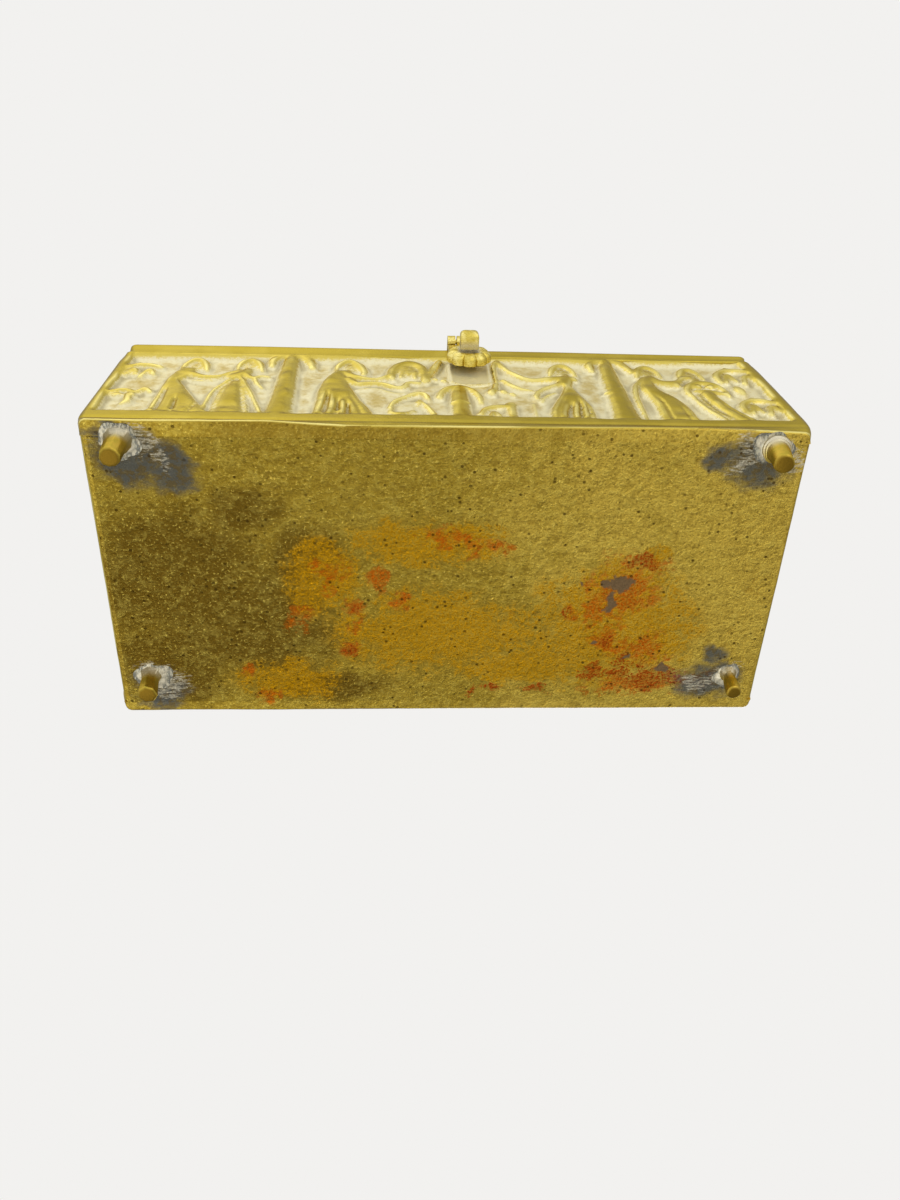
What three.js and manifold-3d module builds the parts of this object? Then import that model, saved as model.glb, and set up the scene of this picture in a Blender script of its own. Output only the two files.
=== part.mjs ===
// Cast brass casket: four framed relief panels, a let-in bottom plate, four stub feet,
// a hinged lid and a small hasp with a scalloped rosette and a lifting lug.
// Millimetres, +Z up, front wall towards -Y. The feet's tips stand on z = 0.

import * as THREE from 'three';
import { mergeVertices } from 'three/addons/utils/BufferGeometryUtils.js';
import Module from 'manifold-3d';

const wasm = await Module();
wasm.setup();

// Body
const bodyLength = 210;
const bodyDepth = 99;
const wallHeight = 64;
const wallThickness = 3.8;
const cornerRadius = 2;
const bottomThickness = 2.6;

// Soft outside of the body: the ends belly out between foot and rim, and the lower edges are rounded off
const endFootInset = 2.3;
const endKneeInset = 0.8;
const endRimInset = 0.75;
const endKneeLevel = 4;
const endBellyLow = 10;
const endBellyHigh = 54;
const lowerEdgeRadius = 1.1;

// Framed relief on the walls
const reliefSunk = 2.3;
const bottomBand = 10.5;
const topBand = 4;
const sideBand = 5.2;
const endSideBand = 4;

// Lid
const lidHeight = 8;
const lidThickness = 3;
const lidRimThickness = 3.8;
const lidEdgeRadius = 1.6;
const lidBand = 8;
const lidReliefSunk = 1.4;
const lidPadSeat = 2.2;

// Feet and their solder pools
const footHeight = 9.5;
const footRadius = 3.3;
const footTipRadius = 2.7;
const slimFootRadius = 2.5;
const footLean = 1.2;
const footChamfer = 0.6;
const footTaperShare = 0.55;
const footNeckHeight = 1.7;
const footCollarHeight = 1.3;
const footCollar = 0.5;
const footEndInset = 12;
const footFrontInset = 5.6;
const footRearInset = 14;
const solderRadius = 5.2;
const solderHeight = 1.5;

// Lid hinges
const hingeEndInset = 43;
const hingeWidth = 26;
const hingeLeafThickness = 1.4;
const hingeKnuckleRadius = 2.6;
const hingeKnuckleWidth = 8;
const hingePinRadius = 1.2;
const bodyLeafDrop = 14;
const lidLeafMargin = 1;
const hingeStudSpacing = 15;
const padMargin = 1;

// Round-headed studs of all the leaves
const studHeadRadius = 1.5;
const studHeadHeight = 0.8;
const studShankRadius = 0.8;
const studDepth = 1.8;

// Hasp
const haspOffset = 8;
const haspHingeShift = 1.5;
const haspLeafWidth = 9.6;
const haspLeafLength = 14;
const haspLeafThickness = 1.4;
const haspKnuckleRadius = 2;
const haspKnuckleWidth = 3.8;
const haspPinRadius = 0.8;
const haspStudShares = [0.35, 0.78];
const strapThickness = 1.8;
const haspDrop = 14.2;
const rosetteRadius = 7.3;
const rosetteThickness = 4;
const rosetteLobes = 10;
const rosetteBevel = 1.1;
const lobeDepth = 0.7;
const lugWidth = 6;
const lugHeight = 5;
const lugReach = 5.8;
const lugCornerRadius = 1.8;
const lockPlateWidth = 15;
const lockPlateDrop = 25.5;
const lockPlateBelly = 3;

// Clearances
const pieceGap = 0.3;
const runningClearance = 0.3;

// Levels and lines that several pieces share
const wallTop = footHeight + wallHeight;
const lidBottom = wallTop + pieceGap;
const lidTop = lidBottom + lidHeight;
const hingeAxisLevel = wallTop + pieceGap / 2;
const hingeAxisReach = pieceGap + hingeKnuckleRadius;
const haspAxisLevel = lidTop + pieceGap + haspLeafThickness - haspKnuckleRadius;
const haspAxisReach = pieceGap + haspKnuckleRadius;
const lidLeafTop = lidTop - lidLeafMargin;
const rosetteLevel = haspAxisLevel - haspDrop;
const frontReach = pieceGap + rosetteThickness + pieceGap + lugReach;
const rearReach = hingeAxisReach + hingeKnuckleRadius;
const bodyCentreY = (frontReach - rearReach) / 2;
const lidLength = bodyLength - 2 * endRimInset;
const hingeOffset = bodyLength / 2 - hingeEndInset;
const haspHingeOffset = haspOffset - haspHingeShift;
const innerLength = bodyLength - 2 * wallThickness;
const innerDepth = bodyDepth - 2 * wallThickness;
const studHoleRadius = studShankRadius + pieceGap;

const round = { coarse: 8, plain: 12, fine: 16 };
const far = 400;

const brass = {
  front: 0xc9a544, rear: 0xc3a041, end: 0xbf9c40, plate: 0x8f7b3c,
  lid: 0xc7a344, foot: 0x8d7a45, hinge: 0xb8963c, hasp: 0xcaa03a,
};
const solderGrey = 0x8c8b80;

function finish(colour, roughness) {
  return new THREE.MeshStandardMaterial({ color: colour, roughness, metalness: 1 });
}

// Solids: a closed three.js geometry becomes a manifold, and a manifold a geometry

function solid(geometry, matrix) {
  const bare = geometry.index ? geometry.clone() : mergeVertices(geometry.clone());
  for (const name of Object.keys(bare.attributes)) {
    if (name !== 'position') bare.deleteAttribute(name);
  }
  if (matrix) bare.applyMatrix4(matrix);
  const merged = mergeVertices(bare, 1e-5);
  const corners = merged.index.array;
  const kept = [];
  for (let i = 0; i < corners.length; i += 3) {
    const [a, b, c] = [corners[i], corners[i + 1], corners[i + 2]];
    if (a !== b && b !== c && c !== a) kept.push(a, b, c);
  }
  const mesh = new wasm.Mesh({
    numProp: 3,
    vertProperties: new Float32Array(merged.attributes.position.array),
    triVerts: new Uint32Array(kept),
  });
  return new wasm.Manifold(mesh);
}

function geometryOf(manifold) {
  const mesh = manifold.getMesh();
  const geometry = new THREE.BufferGeometry();
  geometry.setAttribute('position', new THREE.BufferAttribute(new Float32Array(mesh.vertProperties), 3));
  geometry.setIndex(new THREE.BufferAttribute(new Uint32Array(mesh.triVerts), 1));
  geometry.computeVertexNormals();
  return geometry;
}

function shift(x, y, z) {
  return new THREE.Matrix4().makeTranslation(x, y, z);
}

function block(x0, x1, y0, y1, z0, z1) {
  const geometry = new THREE.BoxGeometry(x1 - x0, y1 - y0, z1 - z0);
  return solid(geometry, shift((x0 + x1) / 2, (y0 + y1) / 2, (z0 + z1) / 2));
}

function joined(parts) {
  return parts.reduce((sum, part) => sum.add(part));
}

// A round bar along X, centred on x, with its axis at (y, z)
function bar(radius, length, x, y, z, sides) {
  const geometry = new THREE.CylinderGeometry(radius, radius, length, sides);
  const turn = new THREE.Matrix4().makeRotationZ(Math.PI / 2);
  return solid(geometry, shift(x, y, z).multiply(turn));
}

// Prism of a plan outline in X and Y, standing from z0 to z1
function prism(shape, z0, z1, curveSegments) {
  const geometry = new THREE.ExtrudeGeometry(shape, { depth: z1 - z0, bevelEnabled: false, curveSegments });
  return solid(geometry, shift(0, 0, z0));
}

// Settings of an extrusion whose ends are chamfered inside its outline
function chamfer(size) {
  return { bevelEnabled: true, bevelThickness: size, bevelSize: size, bevelOffset: -size, bevelSegments: 1 };
}

// Relief, drawn in the wall's own frame: u to the right as seen from outside, v up from the wall's
// bottom edge, w outwards from the frame's face. Sizes follow the sunk field of the wall.

const wallDrawing = { length: 199.6, low: 10.5, height: 49.5 };
const endDrawing = { length: 82.2, low: 10.5, height: 49.5 };
const lidDrawing = { length: 190, low: -41.5, height: 83 };

// How high each form stands, as a share of the relief's height
const share = { robe: 0.62, fold: 0.8, arm: 0.9, head: 0.95, trunk: 1, lobe: 0.8, leaf: 0.75 };

function drawField(drawing, sunk) {
  const { length, low } = drawing;
  const ground = -sunk;
  const height = sunk;
  const sink = 0.4;
  const parts = [];

  function mound(points, level, bevel) {
    const shape = new THREE.Shape(points.map(([u, v]) => new THREE.Vector2(u, v)));
    const rise = height * level;
    const geometry = new THREE.ExtrudeGeometry(shape, { depth: rise + sink - bevel, ...chamfer(bevel) });
    parts.push(solid(geometry, shift(0, 0, ground - sink)));
  }

  function boss(u, v, halfU, halfV, level, turn = 0) {
    const geometry = new THREE.SphereGeometry(1, round.coarse, 4).rotateX(Math.PI / 2);
    const flat = new THREE.Matrix4().makeScale(halfU, halfV, height * level);
    const place = shift(u, v, ground).multiply(new THREE.Matrix4().makeRotationZ(turn));
    parts.push(solid(geometry, place.multiply(flat)));
  }

  function limb(points, halfWidth, level) {
    for (let i = 1; i < points.length; i += 1) {
      const [from, to] = [points[i - 1], points[i]];
      const run = Math.hypot(to[0] - from[0], to[1] - from[1]);
      const turn = Math.atan2(from[0] - to[0], to[1] - from[1]);
      const geometry = new THREE.CapsuleGeometry(halfWidth, run, 1, 6);
      const middle = shift((from[0] + to[0]) / 2, (from[1] + to[1]) / 2, ground);
      const flat = new THREE.Matrix4().makeScale(1, 1, (height * level) / halfWidth);
      parts.push(solid(geometry, middle.multiply(new THREE.Matrix4().makeRotationZ(turn)).multiply(flat)));
    }
  }

  function clipped() {
    const window = block(-length / 2, length / 2, low, low + drawing.height, ground - sink, 0);
    return joined(parts).intersect(window);
  }

  return { mound, boss, limb, clipped, low };
}

// Robed standing figure without a face: hem from x0 to x1, waist, shoulders, head and arms
function figure(field, { hem, waist, shoulder, head, arms }) {
  const base = field.low - 0.2;
  const robe = [
    [hem[0], base], [hem[1], base],
    [waist[0] + waist[2], waist[1]], [shoulder[0] + shoulder[2], shoulder[1]],
    [shoulder[0] - shoulder[2], shoulder[1]], [waist[0] - waist[2], waist[1]],
  ];
  field.mound(robe, share.robe, 0.8);
  const middle = (hem[0] + hem[1]) / 2;
  const spread = (hem[1] - hem[0]) / 4;
  for (const side of [-1, 1]) {
    const foot = [middle + side * spread, field.low + 1];
    field.limb([foot, [waist[0] + side * waist[2] * 0.3, waist[1]]], 1.1, share.fold);
  }
  field.boss(head[0], head[1], head[2], head[3], share.head);
  for (const arm of arms) field.limb(arm, 1.5, share.arm);
}

// Tree: a tapering trunk with a leaf lobe on each side of its top
function tree(field, { foot, top, halfWidth, lobes }) {
  const trunk = [
    [foot[0] - halfWidth * 1.5, field.low - 0.2], [foot[0] + halfWidth * 1.5, field.low - 0.2],
    [foot[0] + halfWidth, field.low + 5], [top[0] + halfWidth * 0.75, top[1] - 2],
    [top[0], top[1]], [top[0] - halfWidth * 0.75, top[1] - 2],
    [foot[0] - halfWidth, field.low + 5],
  ];
  field.mound(trunk, share.trunk, 1);
  for (const side of lobes) field.boss(top[0] + side * 4.6, top[1] - 6, 2.4, 5.2, share.lobe, side * 0.3);
}

// The wall pictures are drawn at their real size and then fitted to the field they stand in

function frontFrieze(field) {
  tree(field, { foot: [-50, 10], top: [-50, 61], halfWidth: 3, lobes: [-1, 1] });
  tree(field, { foot: [51.5, 10], top: [53.5, 61], halfWidth: 2.9, lobes: [-1, 1] });
  tree(field, { foot: [3.3, 10], top: [4, 37], halfWidth: 2.8, lobes: [] });
  field.limb([[2.5, 35], [-1.5, 31], [-2.5, 27]], 1.3, share.fold);
  field.limb([[5, 36], [8.6, 31], [9.6, 24]], 1.3, share.fold);
  figure(field, {
    hem: [-88, -70], waist: [-84, 39, 3], shoulder: [-83, 46, 3], head: [-80.5, 53.5, 3.6, 5.6],
    arms: [[[-82, 45], [-76, 43], [-69, 46]]],
  });
  figure(field, {
    hem: [-71, -55], waist: [-65.5, 37, 3.4], shoulder: [-65.5, 46, 3], head: [-63.5, 54.5, 3.6, 5.4],
    arms: [[[-64, 45], [-59, 43.5], [-56.5, 35.5]]],
  });
  figure(field, {
    hem: [-40, -23], waist: [-35, 40, 3.8], shoulder: [-34, 48, 2.8], head: [-30.8, 54.3, 3.8, 5.8],
    arms: [[[-31, 47], [-24.5, 44], [-19, 46.5]], [[-31, 39], [-22, 39.5], [-13, 36]]],
  });
  figure(field, {
    hem: [28, 43], waist: [38, 38, 3], shoulder: [39, 46, 3], head: [38.8, 54.3, 3.8, 5.6],
    arms: [[[40, 46], [30, 44], [24, 47.5], [18.5, 58]], [[36, 41], [27.5, 33.5], [26.5, 25]]],
  });
  figure(field, {
    hem: [56.5, 73.5], waist: [66, 39, 4], shoulder: [66.5, 46, 3.2], head: [66.8, 53.5, 3.6, 5.6],
    arms: [[[68, 45], [75, 43], [81, 46.5]]],
  });
  figure(field, {
    hem: [78.5, 92], waist: [81.5, 33, 4.4], shoulder: [82, 42.5, 4], head: [80.8, 51.8, 3.6, 5.6],
    arms: [[[79, 38], [84, 36.5], [88.5, 33]]],
  });
  const leaves = [
    [-97, 27, 5.6, 3.2, 0.2], [-93, 33.5, 3.6, 2.2, -0.4], [-99, 35, 3, 2.6, 0], [-12, 51, 5.4, 8.4, 0],
    [-12.5, 19, 6, 6.6, -0.5], [-8.5, 26, 2.6, 4, 0.3], [14, 16, 4.6, 4.4, 0.5], [17.8, 21, 1.6, 3.4, 0],
    [-5.6, 43, 2, 2.2, 0], [-2.2, 53, 1.7, 4.4, 0], [13, 32.5, 1.8, 3.4, 0], [18.2, 31, 2.2, 2.4, 0],
    [19.2, 40, 1.5, 4.6, 0.4], [96.5, 51.5, 8, 5.4, -0.1], [93.3, 37, 2.4, 4.8, 0.2],
    [96.5, 21.5, 6.6, 6.4, -0.1],
  ];
  for (const [u, v, halfU, halfV, turn] of leaves) field.boss(u, v, halfU, halfV, share.leaf, turn);
}

function rearFrieze(field) {
  for (const side of [-1, 1]) {
    tree(field, { foot: [side * 24, 10], top: [side * 23, 61], halfWidth: 3, lobes: [-1, 1] });
    figure(field, {
      hem: [side * 88 - 8, side * 88 + 8], waist: [side * 88, 39, 3.6], shoulder: [side * 87.5, 46, 3.2],
      head: [side * 87, 54, 3.7, 5.6], arms: [[[side * 87, 45], [side * 80, 40], [side * 76, 44]]],
    });
    figure(field, {
      hem: [side * 38 - 7, side * 38 + 8], waist: [side * 38, 38, 3.4], shoulder: [side * 38, 46, 3],
      head: [side * 38.4, 54, 3.7, 5.6], arms: [[[side * 38, 45], [side * 32, 42], [side * 29, 46]]],
    });
    figure(field, {
      hem: [side * 9 - 7, side * 9 + 7], waist: [side * 9.5, 38, 3.4], shoulder: [side * 9.5, 45, 3],
      head: [side * 9, 53, 3.6, 5.4], arms: [[[side * 9, 44], [side * 4, 40], [0, 43]]],
    });
    const leaves = [
      [62, 24, 8, 9, 0], [54, 32, 3, 6, 0.5], [70, 32, 3, 6, -0.5], [62, 38, 3, 5, 0], [99, 24, 3, 8, 0],
    ];
    for (const [u, v, halfU, halfV, turn] of leaves) {
      field.boss(side * u, v, halfU, halfV, share.leaf, side * turn);
    }
  }
}

function endFrieze(field) {
  tree(field, { foot: [0, 10], top: [1, 61], halfWidth: 3.2, lobes: [-1, 1] });
  figure(field, {
    hem: [-29, -12], waist: [-21, 39, 3.8], shoulder: [-20, 46, 3.2], head: [-19.4, 54, 3.8, 5.6],
    arms: [[[-20, 45], [-13, 42], [-7.5, 46]]],
  });
  figure(field, {
    hem: [13, 30], waist: [21, 39, 3.8], shoulder: [20.5, 46, 3.2], head: [19.8, 54, 3.8, 5.6],
    arms: [[[20, 45], [14, 41], [8, 44]]],
  });
  const leaves = [
    [-35, 24, 3.4, 9, 0.2], [-34, 44, 4, 8, -0.2], [35, 24, 3.4, 9, -0.2], [34.5, 44, 4, 8, 0.2],
  ];
  for (const [u, v, halfU, halfV, turn] of leaves) field.boss(u, v, halfU, halfV, share.leaf, turn);
}

// Scrolling foliage round a flower, on the top of the lid
function lidFrieze(field) {
  const petals = 8;
  for (let k = 0; k < petals; k += 1) {
    const turn = (k / petals) * Math.PI * 2;
    field.boss(Math.cos(turn) * 9, Math.sin(turn) * 9, 6, 3, share.lobe, turn);
  }
  field.boss(0, 0, 4.4, 4.4, share.trunk);
  for (const side of [-1, 1]) {
    for (const up of [-1, 1]) {
      const vine = [[20, 4], [36, 20], [54, 12], [68, 2], [84, 14]];
      field.limb(vine.map(([u, v]) => [side * u, up * v]), 1.5, share.arm);
      const leaves = [[42, 30, 9, 4, 0.3], [60, 24, 7, 4, -0.8], [78, 28, 8, 4, -0.4], [22, 26, 7, 3.4, 1.2]];
      for (const [u, v, halfU, halfV, turn] of leaves) {
        field.boss(side * u, up * v, halfU, halfV, share.leaf, side * up * turn);
      }
    }
  }
}

// A picture of its drawn size, fitted to the sunk field it stands in
function picture(draw, drawing, field, sunk) {
  const canvas = drawField(drawing, sunk);
  draw(canvas);
  const across = (field.right - field.left) / drawing.length;
  const up = (field.high - field.low) / drawing.height;
  const matrix = shift((field.left + field.right) / 2, field.low, 0)
    .multiply(new THREE.Matrix4().makeScale(across, up, 1))
    .multiply(shift(0, -drawing.low, 0));
  return solid(geometryOf(canvas.clipped()), matrix);
}

// Panel in its wall frame: a plate with a sunk field, its relief and any flat pads, all one casting
function panelSolid({ length, rounded, side, draw, drawing, pads, clear }) {
  const half = length / 2;
  let plate;
  if (rounded) {
    const shape = new THREE.Shape();
    shape.moveTo(-half, -wallThickness);
    shape.lineTo(half, -wallThickness);
    shape.lineTo(half, -cornerRadius);
    shape.absarc(half - cornerRadius, -cornerRadius, cornerRadius, 0, Math.PI / 2);
    shape.absarc(-half + cornerRadius, -cornerRadius, cornerRadius, Math.PI / 2, Math.PI);
    shape.closePath();
    const upright = new THREE.Matrix4().makeBasis(
      new THREE.Vector3(1, 0, 0), new THREE.Vector3(0, 0, 1), new THREE.Vector3(0, -1, 0),
    );
    const options = { depth: wallHeight, bevelEnabled: false, curveSegments: 4 };
    plate = solid(new THREE.ExtrudeGeometry(shape, options), shift(0, wallHeight, 0).multiply(upright));
  } else {
    plate = block(-half, half, 0, wallHeight, -wallThickness, 0);
  }
  const edge = { left: -half + side, right: half - side, low: bottomBand, high: wallHeight - topBand };
  let panel = plate.subtract(block(edge.left, edge.right, edge.low, edge.high, -reliefSunk, far));
  let relief = picture(draw, drawing, edge, reliefSunk);
  for (const zone of [...pads, ...clear]) {
    relief = relief.subtract(block(zone.left, zone.right, zone.low, zone.high, -far, far));
  }
  panel = panel.add(relief);
  const padBack = -(wallThickness + reliefSunk) / 2;
  for (const pad of pads) panel = panel.add(block(pad.left, pad.right, pad.low, pad.high, padBack, 0));
  return panel;
}

// The soft outside: the space inside it is as wide as the profiles say at each level over the walls'
// lower edge. It stands clear of every face that it leaves flat.

function profile(points) {
  const shape = new THREE.Shape();
  shape.moveTo(points[0][0], points[0][1]);
  for (const [half, level] of points.slice(1)) shape.lineTo(half, level);
  for (const [half, level] of [...points].reverse()) shape.lineTo(-half, level);
  shape.closePath();
  return shape;
}

function runThrough(shape, sideways) {
  const up = new THREE.Vector3(0, 0, 1);
  const basis = new THREE.Matrix4().makeBasis(sideways, up, sideways.clone().cross(up));
  const geometry = new THREE.ExtrudeGeometry(shape, { depth: 2 * far, bevelEnabled: false });
  return solid(geometry, basis.multiply(shift(0, 0, -far)));
}

function softOutside() {
  const [half, deep, r] = [bodyLength / 2, bodyDepth / 2, lowerEdgeRadius];
  const clear = 1;
  const footSlope = (endFootInset - endKneeInset) / endKneeLevel;
  const rimSlope = endRimInset / (wallHeight - endBellyHigh);
  const ends = profile([
    [half - endFootInset - clear * footSlope, -clear], [half - endKneeInset, endKneeLevel],
    [half, endBellyLow], [half + clear, endBellyLow + clear],
    [half + clear, endBellyHigh - clear], [half, endBellyHigh],
    [half - endRimInset - clear * rimSlope, wallHeight + clear],
  ]);
  const sides = profile([
    [deep - r - clear, -clear], [deep - r * 0.3, r * 0.3], [deep, r], [deep + clear, r + clear],
    [deep + clear, wallHeight + clear],
  ]);
  const across = runThrough(ends, new THREE.Vector3(1, 0, 0));
  return across.intersect(runThrough(sides, new THREE.Vector3(0, 1, 0))).translate(0, 0, footHeight);
}

// Studs: where they stand on a wall or the lid, and the hole that takes the shank

function studHole(x, y, z, axis, leafThickness) {
  const depth = studDepth + pieceGap;
  const rise = leafThickness + 3 * pieceGap;
  const geometry = new THREE.CylinderGeometry(studHoleRadius, studHoleRadius, depth + rise, round.coarse);
  geometry.translate(0, (rise - depth) / 2, 0);
  return solid(geometry, shift(x, y, z).multiply(axisTurn(axis)));
}

function axisTurn(axis) {
  const turn = new THREE.Quaternion().setFromUnitVectors(new THREE.Vector3(0, 1, 0), axis);
  return new THREE.Matrix4().makeRotationFromQuaternion(turn);
}

function studGeometry(leafThickness) {
  const bottom = -(leafThickness + pieceGap + studDepth);
  const points = [
    [0, bottom], [studShankRadius, bottom], [studShankRadius, pieceGap], [studHeadRadius, pieceGap],
    [studHeadRadius * 0.75, pieceGap + studHeadHeight * 0.75], [0, pieceGap + studHeadHeight],
  ].map(([radius, level]) => new THREE.Vector2(radius, level));
  return geometryOf(solid(new THREE.LatheGeometry(points, round.coarse)));
}

const group = new THREE.Group();

function add(parent, name, geometry, material) {
  const mesh = new THREE.Mesh(geometry, material);
  mesh.name = name;
  parent.add(mesh);
  return mesh;
}

// Body frame: origin on the floor the feet stand on, under the middle of the bottom plate
const body = new THREE.Group();
body.position.set(0, bodyCentreY, 0);
group.add(body);

const frontFace = -bodyDepth / 2;
const rearFace = bodyDepth / 2;

// Walls

const endLength = innerDepth - 2 * pieceGap;
const outward = new THREE.Vector3(0, 0, 1);
const lockZone = {
  left: haspOffset - lockPlateWidth / 2 - pieceGap,
  right: haspOffset + lockPlateWidth / 2 + pieceGap,
  low: wallHeight - lockPlateDrop - pieceGap,
  high: wallHeight,
};
const hingePads = [-hingeOffset, hingeOffset].map((offset) => ({
  left: offset - hingeWidth / 2 - padMargin,
  right: offset + hingeWidth / 2 + padMargin,
  low: wallHeight - bodyLeafDrop - padMargin,
  high: wallHeight - topBand / 2,
}));

const outside = geometryOf(softOutside());

function wall(name, place, turn, colour, options) {
  const holder = new THREE.Group();
  holder.position.copy(place);
  holder.rotation.set(Math.PI / 2, turn, 0, 'XYZ');
  body.add(holder);
  holder.updateMatrix();
  let panel = panelSolid(options).intersect(solid(outside, holder.matrix.clone().invert()));
  for (const [u, v] of options.holes) panel = panel.subtract(studHole(u, v, 0, outward, hingeLeafThickness));
  return add(holder, name, geometryOf(panel), finish(colour, 0.42));
}

const bodyStudLevel = wallHeight - (bodyLeafDrop + hingeKnuckleRadius) / 2;
const studOffsets = [];
for (const offset of [-hingeOffset, hingeOffset]) {
  studOffsets.push(offset - hingeStudSpacing / 2, offset + hingeStudSpacing / 2);
}

wall('front_panel', new THREE.Vector3(0, frontFace, footHeight), 0, brass.front, {
  length: bodyLength, rounded: true, side: sideBand, draw: frontFrieze, drawing: wallDrawing,
  pads: [], clear: [lockZone], holes: [],
});
wall('rear_panel', new THREE.Vector3(0, rearFace, footHeight), Math.PI, brass.rear, {
  length: bodyLength, rounded: true, side: sideBand, draw: rearFrieze, drawing: wallDrawing,
  pads: hingePads, clear: [], holes: studOffsets.map((offset) => [offset, bodyStudLevel]),
});
wall('left_end_panel', new THREE.Vector3(-bodyLength / 2, 0, footHeight), -Math.PI / 2, brass.end, {
  length: endLength, rounded: false, side: endSideBand, draw: endFrieze, drawing: endDrawing,
  pads: [], clear: [], holes: [],
});
wall('right_end_panel', new THREE.Vector3(bodyLength / 2, 0, footHeight), Math.PI / 2, brass.end, {
  length: endLength, rounded: false, side: endSideBand, draw: endFrieze, drawing: endDrawing,
  pads: [], clear: [], holes: [],
});

// Bottom plate, let in between the walls and flush with their lower edges
const plateLength = innerLength - 2 * pieceGap;
const plateDepth = innerDepth - 2 * pieceGap;
const plateGeometry = new THREE.BoxGeometry(plateLength, plateDepth, bottomThickness);
const plate = add(body, 'bottom_plate', plateGeometry, finish(brass.plate, 0.55));
plate.position.set(0, 0, footHeight + bottomThickness / 2);

// Lock plate in the frieze, behind the hasp
const lockShape = new THREE.Shape();
const lockHalf = lockPlateWidth / 2;
lockShape.moveTo(-lockHalf, -topBand - pieceGap);
lockShape.lineTo(-lockHalf, -lockPlateDrop + lockPlateBelly);
lockShape.quadraticCurveTo(0, -lockPlateDrop - lockPlateBelly, lockHalf, -lockPlateDrop + lockPlateBelly);
lockShape.lineTo(lockHalf, -topBand - pieceGap);
lockShape.closePath();
const lockThickness = reliefSunk - pieceGap;
const lockOptions = { depth: lockThickness, bevelEnabled: false, curveSegments: 6 };
const lockGeometry = new THREE.ExtrudeGeometry(lockShape, lockOptions);
const lockPlate = add(body, 'lock_plate', lockGeometry, finish(brass.front, 0.5));
lockPlate.position.set(haspOffset, frontFace + lockThickness, wallTop);
lockPlate.rotation.x = Math.PI / 2;

// Feet, each leaning a little, with a solder pool round the root

function foot(name, x, y, radius, lean) {
  const length = footHeight - pieceGap;
  const tip = (footTipRadius / footRadius) * radius;
  const points = [
    [0, 0], [tip - footChamfer, 0], [tip, footChamfer], [radius, length * footTaperShare],
    [radius, length - footNeckHeight], [radius + footCollar, length - footCollarHeight],
    [radius + footCollar, length], [0, length],
  ].map(([r, z]) => new THREE.Vector2(r, z));
  const geometry = new THREE.LatheGeometry(points, round.plain);
  geometry.rotateX(Math.PI / 2);
  const [slantX, slantY] = [lean[0] / length, lean[1] / length];
  const shear = new THREE.Matrix4().set(
    1, 0, -slantX, lean[0],
    0, 1, -slantY, lean[1],
    0, 0, 1, 0,
    0, 0, 0, 1,
  );
  geometry.applyMatrix4(shear);
  const shaped = geometryOf(solid(geometry));
  add(body, `foot_${name}`, shaped, finish(brass.foot, 0.5)).position.set(x, y, 0);
}

function solderPool(name, x, y, radius) {
  const bore = radius + footCollar + pieceGap;
  const outer = solderRadius - footRadius + radius;
  const slopeSteps = 3;
  const points = [];
  for (let k = 0; k <= slopeSteps; k += 1) {
    const turn = (k / slopeSteps) * (Math.PI / 2);
    points.push(new THREE.Vector2(bore + (outer - bore) * Math.sin(turn), -solderHeight * Math.cos(turn)));
  }
  points.push(new THREE.Vector2(bore, 0), points[0].clone());
  const geometry = new THREE.LatheGeometry(points, round.plain);
  geometry.rotateX(Math.PI / 2);
  const shaped = geometryOf(solid(geometry));
  add(body, `solder_${name}`, shaped, finish(solderGrey, 0.7)).position.set(x, y, footHeight - pieceGap);
}

const footX = bodyLength / 2 - footEndInset;
const feet = [
  ['front_left', -footX, frontFace + footFrontInset, footRadius, [-0.3, footLean]],
  ['front_right', footX, frontFace + footFrontInset, footRadius, [-0.3, footLean]],
  ['rear_left', -footX, rearFace - footRearInset, footRadius, [0.5, footLean]],
  ['rear_right', footX, rearFace - footRearInset, slimFootRadius, [-0.4, footLean]],
];
for (const [name, x, y, radius, lean] of feet) {
  foot(name, x, y, radius, lean);
  solderPool(name, x, y, radius);
}

// Lid: shell with a rounded top edge, a sunk picture on top and a flat pad under the hasp's leaf

function roundedOutline(length, depth, radius) {
  const shape = new THREE.Shape();
  const [a, b] = [length / 2 - radius, depth / 2 - radius];
  shape.absarc(a, b, radius, 0, Math.PI / 2);
  shape.absarc(-a, b, radius, Math.PI / 2, Math.PI);
  shape.absarc(-a, -b, radius, Math.PI, Math.PI * 1.5);
  shape.absarc(a, -b, radius, Math.PI * 1.5, Math.PI * 2);
  shape.closePath();
  return shape;
}

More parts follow.
